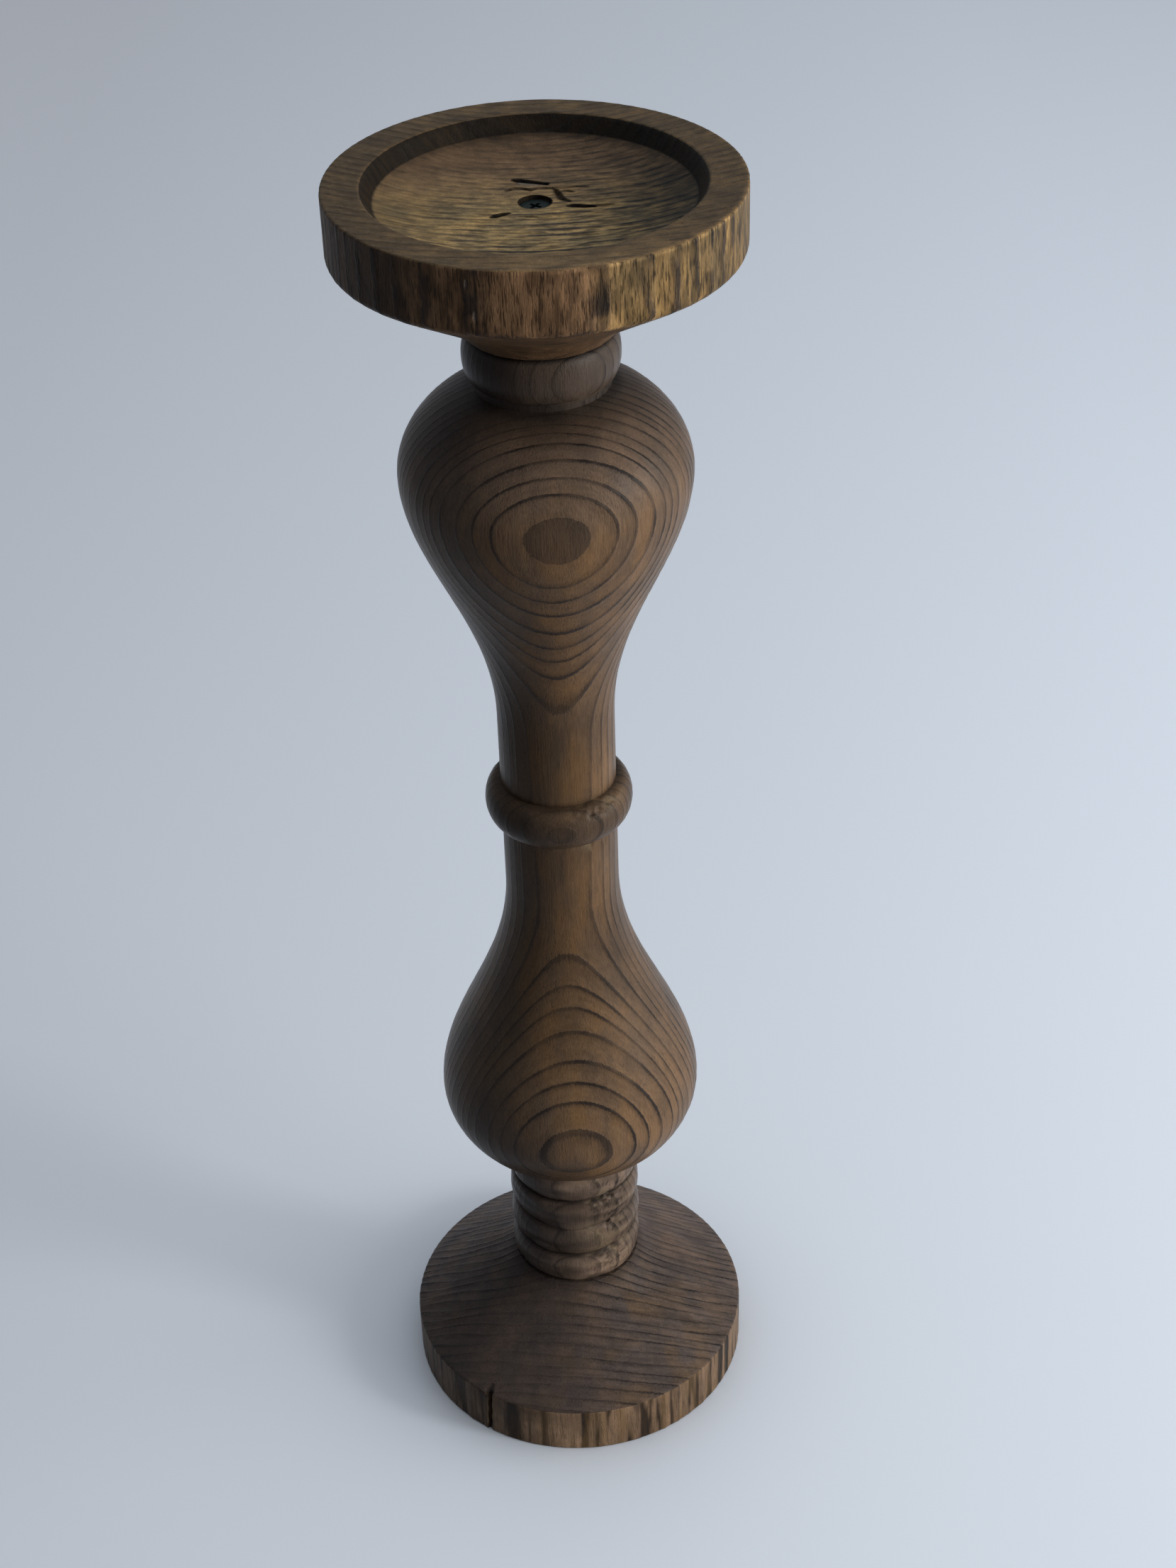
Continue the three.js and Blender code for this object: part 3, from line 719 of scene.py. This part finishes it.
def base_crack(angle, radius, z):
    """How far the crack is open, how large the chip at its top is, and how dark both are."""
    lean = CRACK_FOOT + (CRACK_TOP - CRACK_FOOT) * z / BASE_EDGE_HEIGHT
    off = BASE_RADIUS * np.radians(away_from(angle, 0.0) - lean) + 0.12 * np.sin(z * 1.1)
    opens = np.clip((radius - (BASE_RADIUS - 1.6)) / 1.2, 0, 1) * (z > 0.01)
    cut = np.clip(1 - np.abs(off) / CRACK_HALF, 0, 1) ** 0.5 * opens
    chip = np.clip(1 - np.hypot((off + 1.0) / 1.8, (z - BASE_EDGE_HEIGHT) / 2.6), 0, 1)
    chip = chip * (radius > BASE_RADIUS - 3)
    # the crack and its chip are painted dark: dirt and painted shade in the crack
    dark = np.maximum(np.clip(1.3 - np.abs(off) / CRACK_HALF, 0, 1) * opens, 0.6 * chip)
    return cut, chip, dark


print("the crack is", CRACK_DEPTH, "mm deep and", 2 * CRACK_HALF, "mm wide")

# %% Colour, painted sheen, painted shade and shape of the base
def base_tone(z, angle, edge, bars):
    edge_tone = around(angle, 1.2, (-101, 17, 2.3), (-72, 22, 0.4), (-138, 20, 2.2))
    gaps = np.clip(4.0 * (-bars - 0.04), 0, 0.85)
    shaded = 0.5 * near(angle, -112, 26) * np.clip((z - 8) / 7, 0, 1)
    # painted sheen: the cone is lighter at the back right and much lighter at the back left, and a little
    # darker at the front right
    cone_tone = around(angle, 0.84, (-30, 45, -0.14), (60, 40, 0.45), (150, 45, 1.1))
    return np.where(edge, edge_tone * (1 - gaps) * (1 - shaded), cone_tone)


def shape_base(x, y, z):
    angle, radius = np.arctan2(y, x), np.hypot(x, y)
    top = (radius > JOINT_RADIUS - 0.5) & (z > 0.05)
    edge = (radius > BASE_RADIUS - 1.0) & (z > 0.3) & (z < BASE_EDGE_HEIGHT - 0.1)
    relief = np.where(radius > BASE_RADIUS - 1.2, 0.08, 0.22) * base_log.relief(x, y, z) * top
    bars = grainy(x, y, z, 2.6, 40.0) + 0.3 * grainy(x, y, z, 0.8, 12.0)
    golden = np.clip(3.0 * (grainy(x + 50, y, z, 3.0, 18.0) + 0.05), 0, 1) * edge * near(angle, -80, 45)
    cut, chip, dark = base_crack(angle, radius, z)
    push = np.where(cut > 0, -CRACK_DEPTH * cut, relief + 0.10 * bars * edge) - CHIP_DEPTH * chip
    # painted shade: the cone is darker in a ring round the column's foot, where the two meet
    joint = np.clip(1.3 - (radius - JOINT_RADIUS) / 2.2, 0, 1) * (z > BASE_TOP - 4)
    tinted = np.clip(2.5 * grainy(x, y, z, 9.0, 9.0), 0, 1) * near(angle, -55, 35)
    return push, {
        "dirt_and_shade": np.maximum(dark, 0.4 * joint), "bare_and_highlight": 0.45 * golden,
        "tone": base_tone(z, angle, edge, bars),
        "figure": np.where(edge, 0.6, around(angle, 1.0, (-120, 42, -0.75))),
        "second_colour": np.where(edge, 0.9, 0.8 * tinted), "dashes": np.where(edge, 1.0, 0.6),
    }


base_angles = even_angles(520, (math.radians(-124.6), math.radians(2.0), math.radians(0.12)))
base = turned("base_foot", base_outline(), base_angles, True, shape_base)

# %% [markdown]
# ## The screws
# A countersunk wood screw has a cone under a flat head, a cross cut into it for the driver, a plain neck
# and a thread. The head and the shank are turned like the wood. The thread is a helix: at each height the
# crest lies at another angle, so a push that depends on both winds it round the shank. The cross is cut
# with a boolean, which leaves the tapered walls that catch the light in a real head.

# %% Outline and thread of a screw
THREAD_CREST, THREAD_PITCH, CREST_WIDTH = 0.32, 1.8, 0.28
NECK_BELOW_HEAD, POINT_LENGTH, NECK_THINNER, STEP_LENGTH = 14.0, 6.0, 0.1, 0.4


def screw_outline():
    core, neck = SCREW_SHANK - THREAD_CREST, SCREW_SHANK - NECK_THINNER
    cone_end, point_start = SCREW_SHANK - SCREW_HEAD, POINT_LENGTH - SCREW_LENGTH
    return chain(
        (0, -SCREW_LENGTH),
        line((0.05, -SCREW_LENGTH + 0.1), (core, point_start), 0.3),
        line((core, point_start), (core, -NECK_BELOW_HEAD), 0.3),
        (neck, -NECK_BELOW_HEAD + STEP_LENGTH), (neck, cone_end - STEP_LENGTH), (SCREW_SHANK, cone_end),
        (SCREW_HEAD - 0.06, -0.12), (SCREW_HEAD - 0.05, -0.05), (SCREW_HEAD - 0.2, 0),
        (SCREW_HEAD - 2, 0), (0, 0),
    )


def shape_screw(x, y, z):
    turn = np.mod(z / THREAD_PITCH - np.arctan2(y, x) / (2 * math.pi), 1.0)
    crest = np.clip(1 - np.abs(turn - 0.5) / CREST_WIDTH, 0, 1)
    threaded = (z < -NECK_BELOW_HEAD) * np.clip((z + SCREW_LENGTH) / POINT_LENGTH, 0, 1)
    return THREAD_CREST * crest * threaded, {}


print("the screw's outline has", len(screw_outline()), "points")

# %% The cutter for the cross
# half length, half width and height of each bar, at its top and at its bottom
CROSS_TOP, CROSS_BOTTOM = (2.15, 0.55, 0.4), (1.05, 0.4, -2.0)


def cross_cutter():
    """Two crossed bars that narrow towards the bottom, as the point of a driver does."""
    points, faces = [], []
    for quarter in (0, 1):
        for long, wide, height in (CROSS_TOP, CROSS_BOTTOM):
            for sx, sy in ((-1, -1), (1, -1), (1, 1), (-1, 1)):
                px, py = sx * long, sy * wide
                points.append((px, py, height) if quarter == 0 else (-py, px, height))
        k = 8 * quarter
        faces += [(k, k + 1, k + 2, k + 3), (k + 7, k + 6, k + 5, k + 4)]
        faces += [(k + i, k + 4 + i, k + 4 + (i + 1) % 4, k + (i + 1) % 4) for i in range(4)]
    mesh = bpy.data.meshes.new("cross")
    mesh.from_pydata([tuple(MM * v for v in p) for p in points], [], faces)
    return bpy.data.objects.new("cross", mesh)


print("the cross is", 2 * CROSS_TOP[0], "mm wide at its top")

# %% Turn, cut and place both screws
def screw(name, top, upward, twist):
    blank = turned(name, screw_outline(), even_angles(48), False, shape_screw)
    cutter = cross_cutter()
    bpy.context.scene.collection.objects.link(cutter)
    cut = blank.modifiers.new("cross", "BOOLEAN")
    cut.operation, cut.object, cut.solver, cut.use_self = "DIFFERENCE", cutter, "EXACT", True
    bpy.context.view_layer.update()
    mesh = bpy.data.meshes.new_from_object(blank.evaluated_get(bpy.context.evaluated_depsgraph_get()))
    blank.modifiers.clear()
    blank.data = mesh
    bpy.data.objects.remove(cutter)
    turn = Matrix.Rotation(twist, 4, "Z")
    tip = Matrix.Identity(4) if upward else Matrix.Rotation(math.pi, 4, "X")
    mesh.transform(Matrix.Translation((0, 0, top * MM)) @ tip @ turn)
    mesh.set_sharp_from_angle(angle=math.radians(30))
    print(name, "head at", round(top, 2), "mm,", len(mesh.polygons), "faces")
    return blank


dish_screw = screw("screw_in_dish", DISH_SCREW_TOP, True, math.radians(52))
base_screw = screw("screw_in_base", BASE_SCREW_TOP, False, math.radians(10))

# %% [markdown]
# ## Wiring a material
# A material is a small graph. Adding nodes one by one through the editor's names gets long, so a few
# helpers do it: one adds a node with its settings, others do a sum, a ramp, a mix and a noise. A socket
# that holds the same number everywhere is set on the shader itself.

# %% Nodes, links and sums
def add(tree, kind, inputs=None, **settings):
    node = tree.nodes.new(kind)
    for name, value in settings.items():
        setattr(node, name, value)
    for name, value in (inputs or {}).items():
        fill(tree, node.inputs[name], value)
    return node


def fill(tree, socket, value):
    if isinstance(value, bpy.types.NodeSocket):
        tree.links.new(value, socket)
    else:
        socket.default_value = value


def sums(tree, operation, *values, clamp=False):
    node = add(tree, "ShaderNodeMath", dict(enumerate(values)), operation=operation, use_clamp=clamp)
    return node.outputs[0]


print("node helpers: add, fill and sums")

# %% Ramps, mixes, noise and marks
def ramp(tree, value, stops):
    node = add(tree, "ShaderNodeValToRGB", {"Fac": value})
    elements = node.color_ramp.elements
    while len(elements) < len(stops):
        elements.new(0.5)
    for element, (place, level) in zip(elements, stops):
        element.position, element.color = place, (level, level, level, 1)
    return node.outputs["Color"]


def blend(tree, share, first, second, mode="MIX"):
    node = add(tree, "ShaderNodeMix", data_type="RGBA", blend_type=mode)
    for number, value in ((0, share), (6, first), (7, second)):
        fill(tree, node.inputs[number], value)
    return node.outputs[2]


def speckle(tree, place, scale, detail=3.0, rough=0.55):
    stretched = add(tree, "ShaderNodeMapping", {"Vector": place, "Scale": scale}).outputs[0]
    settings = {"Vector": stretched, "Scale": 1.0, "Detail": detail, "Roughness": rough}
    return add(tree, "ShaderNodeTexNoise", settings).outputs["Fac"]


def mark(tree, name):
    return add(tree, "ShaderNodeAttribute", attribute_name=name).outputs["Fac"]


print("pattern helpers: ramp, blend, speckle and mark")

# %% Materials, places in millimetres and surfaces
def new_material(name):
    material = bpy.data.materials.new(name)
    material.use_nodes = True
    material.node_tree.nodes.clear()
    return material, material.node_tree


def place_in_mm(tree):
    where = add(tree, "ShaderNodeTexCoord").outputs["Object"]
    return add(tree, "ShaderNodeVectorMath", {0: where, "Scale": 1 / MM}, operation="SCALE").outputs[0]


def surface(tree, inputs):
    shader = add(tree, "ShaderNodeBsdfPrincipled", inputs)
    add(tree, "ShaderNodeOutputMaterial", {"Surface": shader.outputs[0]})


print("material helpers: new_material, place_in_mm and surface")

# %% [markdown]
# ## Stained softwood
# The stain soaks into soft spring wood and leaves the hard lines darker still. The graph follows the wood
# itself: the depth in the log gives the rings, noise stretched along the grain gives fibres, dashes and
# streaks, and broad noise gives uneven stain. All of it is read from the place inside the wood, so ovals
# on a bulb, streaks on an edge and lines on end grain come out of one pattern. Marks on the points give
# the lightness, with painted light and shade in it, blend in a second colour, darken grooves, creases,
# splits and holes with dirt and painted shade, show bare wood where it tore and a painted highlight on the
# collar, and say how clear the grain and its dashes are.

# %% How deep a place lies in the log, as nodes
def log_depth(tree, log, x, y, z):
    across = sums(tree, "SUBTRACT", x, log.heart[0])
    behind = sums(tree, "SUBTRACT", y, log.heart[1])
    squares = sums(tree, "MULTIPLY_ADD", behind, behind, sums(tree, "MULTIPLY", across, across))
    depth = sums(tree, "SUBTRACT", log.heart[1], sums(tree, "SQRT", squares))
    depth = sums(tree, "MULTIPLY_ADD", z, log.lean, depth)
    above = sums(tree, "GREATER_THAN", z, log.twist[0])
    depth = sums(tree, "MULTIPLY_ADD", sums(tree, "MULTIPLY", x, log.twist[1]), above, depth)
    for kx, ky, kz, start, size in log.waves:
        turn = sums(tree, "MULTIPLY_ADD", x, kx, start)
        turn = sums(tree, "MULTIPLY_ADD", y, ky, turn)
        turn = sums(tree, "MULTIPLY_ADD", z, kz, turn)
        depth = sums(tree, "MULTIPLY_ADD", sums(tree, "SINE", turn), size, depth)
    return depth


print("waves in the logs:", [len(log.waves) for log in (dish_log, column_log, base_log)])

# %% Ragged, broken ring lines and the dark eye of the outermost ring
THIN_LINES = [(0.0, 0.0), (0.42, 0.03), (0.68, 0.14), (0.80, 0.45), (0.86, 1.0), (0.97, 1.0), (1.0, 0.0)]
BROAD_LINES = [(0.0, 0.0), (0.40, 0.05), (0.62, 0.30), (0.74, 0.85), (0.82, 1.0), (0.96, 1.0), (1.0, 0.0)]
NO_EYE = (0.0, 0.0, -100.0)


def ring_lines(tree, log, depth, z, place, look):
    size, scale = look["ragged"]
    jagged = speckle(tree, place, scale, 3.0, 0.6)
    rough_depth = sums(tree, "MULTIPLY_ADD", jagged, size, sums(tree, "SUBTRACT", depth, size / 2))
    turns = sums(tree, "DIVIDE", sums(tree, "SUBTRACT", rough_depth, log.first), log.spacing)
    lines = ramp(tree, sums(tree, "FRACT", turns), look["ring"])
    faint = look["faint"]
    broken = speckle(tree, place, look["broken"], 2.0, 0.5)
    present = ramp(tree, broken, [(0.0, faint), (0.40, faint), (0.58, 1.0), (1.0, 1.0)])
    lines = sums(tree, "MULTIPLY", sums(tree, "MULTIPLY", lines, present), look["rings"])
    lines = sums(tree, "MULTIPLY", lines, mark(tree, "figure"))
    slope, level, reach = look["eye"]
    eye = sums(tree, "MULTIPLY_ADD", z, slope, level)
    in_eye = sums(tree, "LESS_THAN", turns, reach)
    return sums(tree, "MULTIPLY_ADD", in_eye, sums(tree, "SUBTRACT", eye, lines), lines)


print("a thin line is darkest from", THIN_LINES[4][0], "to", THIN_LINES[5][0], "of a ring")

# %% Fibres, pores, dashes and streaks along the grain
def grain_patterns(tree, x, z, depth, place, look):
    fibres = speckle(tree, place, (2.4, 2.4, 0.05), 4.0, 0.6)
    pores = speckle(tree, place, (2.6, 2.6, 0.9), 3.0, 0.6)
    short = speckle(tree, place, (1.7, 1.7, 0.2), 2.0, 0.5)
    dashes = ramp(tree, short, [(0.0, 0.0), (0.53, 0.0), (0.62, 1.0), (1.0, 1.0)])
    scaled = [sums(tree, "MULTIPLY", v, k) for v, k in zip((x, depth, z), look["streak_scale"])]
    along = add(tree, "ShaderNodeCombineXYZ", dict(enumerate(scaled))).outputs[0]
    streaks = speckle(tree, along, (1, 1, 1), 3.0, 0.6)
    streaks = ramp(tree, streaks, [(0.0, 0.0), (0.40, 0.0), (0.60, 1.0), (1.0, 1.0)])
    return fibres, pores, dashes, streaks


print("four patterns: fibres, pores, dashes and streaks")

# %% Uneven stain over the grain
PATTERN_MEAN = 0.35


def stain_tint(tree, place, patterns, look):
    fibres, pores, dashes, streaks = patterns
    broad = speckle(tree, place, (0.03, 0.03, 0.012), 2.0, 0.5)
    cloud = speckle(tree, place, (0.11, 0.11, 0.04), 3.0, 0.55)
    bands = speckle(tree, place, (0.4, 0.4, 0.012), 2.0, 0.5)
    tint = mark(tree, "tone")
    shades = [(fibres, look["fibres"]), (broad, 0.7), (cloud, look["cloud"])]
    shades += [(bands, look["bands"]), (pores, look["pores"])]
    for pattern, share in shades:
        tint = sums(tree, "MULTIPLY", tint, sums(tree, "MULTIPLY_ADD", pattern, share, 1.0 - share / 2))
    clear = sums(tree, "MULTIPLY", mark(tree, "figure"), look["streaks"])
    dashed = sums(tree, "MULTIPLY", mark(tree, "dashes"), look["dashes"])
    for pattern, share in ((dashes, dashed), (streaks, clear)):
        shade = sums(tree, "MULTIPLY_ADD", sums(tree, "SUBTRACT", PATTERN_MEAN, pattern), share, 1.0)
        tint = sums(tree, "MULTIPLY", tint, shade)
    warmth = ramp(tree, cloud, [(0.0, 0.0), (0.35, 0.0), (0.65, 1.0), (1.0, 1.0)])
    return tint, warmth


print("dashes and streaks lighten or darken about a mean of", PATTERN_MEAN)

# %% The whole wood
# a near black for dirt and painted shade
DIRT_AND_SHADE, DIRT_AND_SHADE_COVER = (0.0045, 0.0047, 0.0054, 1), 0.95
GRAIN_DEPTH = 0.0004


def stained_wood(name, log, look):
    material, tree = new_material(name)
    place = place_in_mm(tree)
    x, y, z = add(tree, "ShaderNodeSeparateXYZ", {0: place}).outputs
    depth = log_depth(tree, log, x, y, z)
    lines = ring_lines(tree, log, depth, z, place, look)
    patterns = grain_patterns(tree, x, z, depth, place, look)
    tint, warmth = stain_tint(tree, place, patterns, look)

    soft = blend(tree, warmth, look["spring"], look["warm"])
    soft = blend(tree, mark(tree, "second_colour"), soft, look["second_colour"])
    colour = blend(tree, lines, soft, look["summer"])
    colour = blend(tree, 1.0, colour, tint, "MULTIPLY")
    # dirt and painted shade darken grooves, creases, splits, cracks and the screw hole towards a near black
    dirt_and_shade = mark(tree, "dirt_and_shade")
    colour = blend(tree, sums(tree, "MULTIPLY", dirt_and_shade, DIRT_AND_SHADE_COVER), colour, DIRT_AND_SHADE)
    colour = blend(tree, mark(tree, "bare_and_highlight"), colour, look["bare"])

    fibres, pores, dashes, streaks = patterns
    height = sums(tree, "MULTIPLY", lines, look["terrace"])
    reliefs = [(fibres, 0.28), (pores, 0.5 * look["pores"])]
    reliefs += [(dashes, -0.3 * look["dashes"]), (streaks, -0.25 * look["streaks"])]
    for pattern, share in reliefs:
        height = sums(tree, "MULTIPLY_ADD", pattern, share, height)
    bump = add(tree, "ShaderNodeBump", {"Height": height, "Strength": 0.7, "Distance": GRAIN_DEPTH})
    rough = sums(tree, "MULTIPLY_ADD", fibres, 0.22, look["gloss"])
    rough = sums(tree, "MULTIPLY_ADD", dirt_and_shade, 0.3, rough)
    surface(tree, {
        "Base Color": colour, "Roughness": rough, "Specular IOR Level": look["shine"],
        "Normal": bump.outputs[0],
    })
    print(name, "has", len(tree.nodes), "nodes")
    return material


print("dirt covers at most", DIRT_AND_SHADE_COVER, "of the stain")

# %% The three woods
dish_wood = stained_wood("dish_wood_stain", dish_log, {
    "spring": (0.205, 0.135, 0.060, 1), "warm": (0.235, 0.141, 0.052, 1),
    "second_colour": (0.215, 0.120, 0.060, 1), "summer": (0.032, 0.023, 0.018, 1), "bare": (0.30, 0.235, 0.18, 1),
    "ring": BROAD_LINES, "rings": 0.95, "faint": 0.2, "broken": (0.07, 0.30, 0.11), "eye": NO_EYE,
    "ragged": (0.9, (0.4, 0.9, 0.25)), "terrace": 1.2, "streak_scale": (0.20, 0.75, 0.10),
    "fibres": 0.6, "cloud": 1.45, "bands": 0.8, "pores": 0.55, "dashes": 0.7, "streaks": 0.75,
    "gloss": 0.36, "shine": 0.12,
})
column_wood = stained_wood("column_wood_stain", column_log, {
    "spring": (0.196, 0.122, 0.071, 1), "warm": (0.236, 0.130, 0.057, 1),
    "second_colour": (0.180, 0.130, 0.098, 1), "summer": (0.028, 0.021, 0.018, 1), "bare": (0.28, 0.21, 0.12, 1),
    "ring": THIN_LINES, "rings": 0.98, "faint": 0.55, "broken": (0.08, 0.08, 0.05),
    "eye": (0.00065, 0.36, 0.0),
    "ragged": (0.45, (1.7, 1.7, 0.8)), "terrace": 0.8, "streak_scale": (0.09, 0.95, 0.11),
    "fibres": 0.55, "cloud": 0.9, "bands": 0.35, "pores": 0.45, "dashes": 0.16, "streaks": 0.16,
    "gloss": 0.20, "shine": 0.11,
})
base_wood = stained_wood("base_wood_stain", base_log, {
    "spring": (0.158, 0.119, 0.101, 1), "warm": (0.182, 0.123, 0.089, 1),
    "second_colour": (0.215, 0.135, 0.078, 1), "summer": (0.027, 0.022, 0.021, 1), "bare": (0.34, 0.205, 0.085, 1),
    "ring": THIN_LINES, "rings": 0.95, "faint": 0.45, "broken": (0.07, 0.12, 0.05), "eye": NO_EYE,
    "ragged": (0.9, (0.7, 0.9, 0.2)), "terrace": 0.7, "streak_scale": (0.07, 0.8, 0.10),
    "fibres": 0.6, "cloud": 0.9, "bands": 0.4, "pores": 0.5, "dashes": 0.3, "streaks": 0.4,
    "gloss": 0.36, "shine": 0.12,
})

# %% [markdown]
# ## Dark steel
# The screw heads are blackened steel, dulled by handling. A metal's colour comes from what it mirrors, so
# the shader is metallic with a dark tone, and fine noise changes its roughness and tone as an oxide film
# does.

# %% The steel of the screws
def blackened_steel():
    material, tree = new_material("blackened_steel")
    place = place_in_mm(tree)
    film = speckle(tree, place, (0.9, 0.9, 0.9), 4.0, 0.6)
    grit = speckle(tree, place, (6.0, 6.0, 6.0), 3.0, 0.6)
    colour = blend(tree, film, (0.010, 0.014, 0.012, 1), (0.036, 0.046, 0.040, 1))
    bump = add(tree, "ShaderNodeBump", {"Height": grit, "Strength": 0.3, "Distance": 0.00008})
    rough = sums(tree, "MULTIPLY_ADD", grit, 0.3, 0.42)
    surface(tree, {"Base Color": colour, "Metallic": 1.0, "Roughness": rough, "Normal": bump.outputs[0]})
    print("steel has", len(tree.nodes), "nodes")
    return material


steel = blackened_steel()

# %% [markdown]
# ## Pieces on their solids
# Each dressed piece takes the place of one solid and rides on the one body that the object has.

# %% Put each piece in place of its solid
for piece, node, material, slot in (
    (dish, "dish", dish_wood, "dish_wood"),
    (column, "column", column_wood, "column_wood"),
    (base, "base", base_wood, "base_wood"),
    (dish_screw, "dish_screw", steel, "screw_steel"),
    (base_screw, "base_screw", steel, "screw_steel"),
):
    piece.data.materials.clear()
    piece.data.materials.append(material)
    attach(piece, "root")
    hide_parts(node)
    print(piece.name, "replaces", node)

# %% [markdown]
# ## Floor and light
# The object stands on pale blue-grey paper beside a tall window. A large soft lamp on the right, a little
# towards the viewer, stands in for the window, a small one beside it for the bright pane that glints on
# the upper bulb, and a wide weak lamp overhead for the ceiling. The paper looks pale to the camera and in
# reflections, but throws back less light than it shows, so that the side away from the window stays dark.
# Its own glow fades close to the base, where the object hides the room, and that is the contact shadow.

# %% The paper
PAPER_GLOW, SHADE_REACH, SHADE_POWER = 0.32, 0.095, 1.6


def seen_directly(tree):
    """1 for rays from the camera, from a mirror and through glass, and 0 for light that spreads."""
    ray = add(tree, "ShaderNodeLightPath").outputs
    seen = sums(tree, "MAXIMUM", ray["Is Camera Ray"], ray["Is Glossy Ray"])
    return sums(tree, "MAXIMUM", seen, ray["Is Transmission Ray"])


def paper():
    material, tree = new_material("pale_paper")
    where = add(tree, "ShaderNodeTexCoord").outputs["Object"]
    fibre = add(tree, "ShaderNodeTexNoise", {"Vector": where, "Scale": 900.0, "Detail": 3.0}).outputs["Fac"]
    across = add(tree, "ShaderNodeSeparateXYZ", {0: where}).outputs["X"]
    # painted light: the paper is paler towards the window on the right
    window_side_light = sums(tree, "MULTIPLY_ADD", across, 1.6, 0.5, clamp=True)
    pale = blend(tree, window_side_light, (0.735, 0.757, 0.80, 1), (0.86, 0.915, 0.985, 1))
    seen = seen_directly(tree)
    colour = blend(tree, seen, (0.055, 0.072, 0.115, 1), pale)
    bump = add(tree, "ShaderNodeBump", {"Height": fibre, "Strength": 0.08, "Distance": 0.0002})
    hidden = add(tree, "ShaderNodeAmbientOcclusion", {"Distance": SHADE_REACH}, samples=8)
    open_room = sums(tree, "POWER", hidden.outputs["AO"], SHADE_POWER)
    glow = sums(tree, "MULTIPLY", sums(tree, "MULTIPLY", seen, PAPER_GLOW), open_room)
    surface(tree, {
        "Base Color": colour, "Roughness": 0.9, "Specular IOR Level": 0.1, "Normal": bump.outputs[0],
        "Emission Color": pale, "Emission Strength": glow,
    })
    return material


print("the paper is shaded within", round(SHADE_REACH / MM), "mm of the base")

# %% The floor
FLOOR_REACH = 4.0
floor_corners = [(sx * FLOOR_REACH, sy * FLOOR_REACH, 0) for sx, sy in ((-1, -1), (1, -1), (1, 1), (-1, 1))]
floor_mesh = bpy.data.meshes.new("paper_floor")
floor_mesh.from_pydata(floor_corners, [], [(0, 1, 2, 3)])
floor_mesh.materials.append(paper())
floor = bpy.data.objects.new("paper_floor", floor_mesh)
bpy.context.scene.collection.objects.link(floor)
print("floor is", 2 * FLOOR_REACH, "m wide")

# %% Window and ceiling
def lamp(name, place, aim, size, power, colour):
    data = bpy.data.lights.new(name, "AREA")
    data.shape, data.size, data.size_y = "RECTANGLE", size[0], size[1]
    data.energy, data.color = power, colour
    light = bpy.data.objects.new(name, data)
    light.location = place
    light.rotation_euler = (Vector(aim) - Vector(place)).to_track_quat("-Z", "Y").to_euler()
    bpy.context.scene.collection.objects.link(light)
    print(name, "at", place, "m with", power, "W")


lamp("window", (1.30, -0.40, 0.46), (0.0, 0.0, 0.30), (1.7, 0.9), 13.2, (1.0, 0.97, 0.93))
lamp("bright_pane", (1.36, -0.56, 0.72), (0.0, 0.0, 0.30), (0.24, 0.4), 6.0, (0.92, 0.96, 1.0))
lamp("ceiling", (0.2, 0.3, 1.9), (0, 0, 0.2), (2.2, 2.2), 9.4, (0.71, 0.85, 1.0))

# %% The room
world = bpy.data.worlds.new("room")
bpy.context.scene.world = world
world.use_nodes = True
room = world.node_tree
room.nodes.clear()
walls = blend(room, seen_directly(room), (0.016, 0.020, 0.031, 1), (0.36, 0.39, 0.43, 1))
background = add(room, "ShaderNodeBackground", {"Color": walls})
add(room, "ShaderNodeOutputWorld", {"Surface": background.outputs[0]})
print("room has", len(room.nodes), "nodes")

# %% [markdown]
# ## Camera
# The photograph was taken from in front and well above, so the dish shows its floor and the column looks
# short. The camera's place and lens were worked out from the ellipses of the turned edges: each circle at
# a known height looks like one ellipse only from one place.

# %% The camera
CAMERA_BACK, CAMERA_HEIGHT = 0.647732, 0.697339
YAW, PITCH, ROLL = 0.0135691, 0.6220551, -0.0325439
FOCAL_PIXELS, LONG_SIDE, SENSOR = 3754.008, 2212, 36.0
ahead = Vector((math.sin(YAW) * math.cos(PITCH), math.cos(YAW) * math.cos(PITCH), -math.sin(PITCH)))
level = Vector((math.cos(YAW), -math.sin(YAW), 0))
raised = level.cross(ahead)
right = math.cos(ROLL) * level + math.sin(ROLL) * raised
above = -math.sin(ROLL) * level + math.cos(ROLL) * raised
lens = bpy.data.cameras.new("camera")
lens.sensor_width, lens.lens = SENSOR, FOCAL_PIXELS / LONG_SIDE * SENSOR
camera = bpy.data.objects.new("camera", lens)
camera.matrix_world = Matrix((
    (right.x, above.x, -ahead.x, 0.0),
    (right.y, above.y, -ahead.y, -CAMERA_BACK),
    (right.z, above.z, -ahead.z, CAMERA_HEIGHT),
    (0, 0, 0, 1),
))
bpy.context.scene.collection.objects.link(camera)
bpy.context.scene.camera = camera
bpy.context.scene.view_settings.view_transform = "Standard"
print("lens", round(lens.lens, 2), "mm")
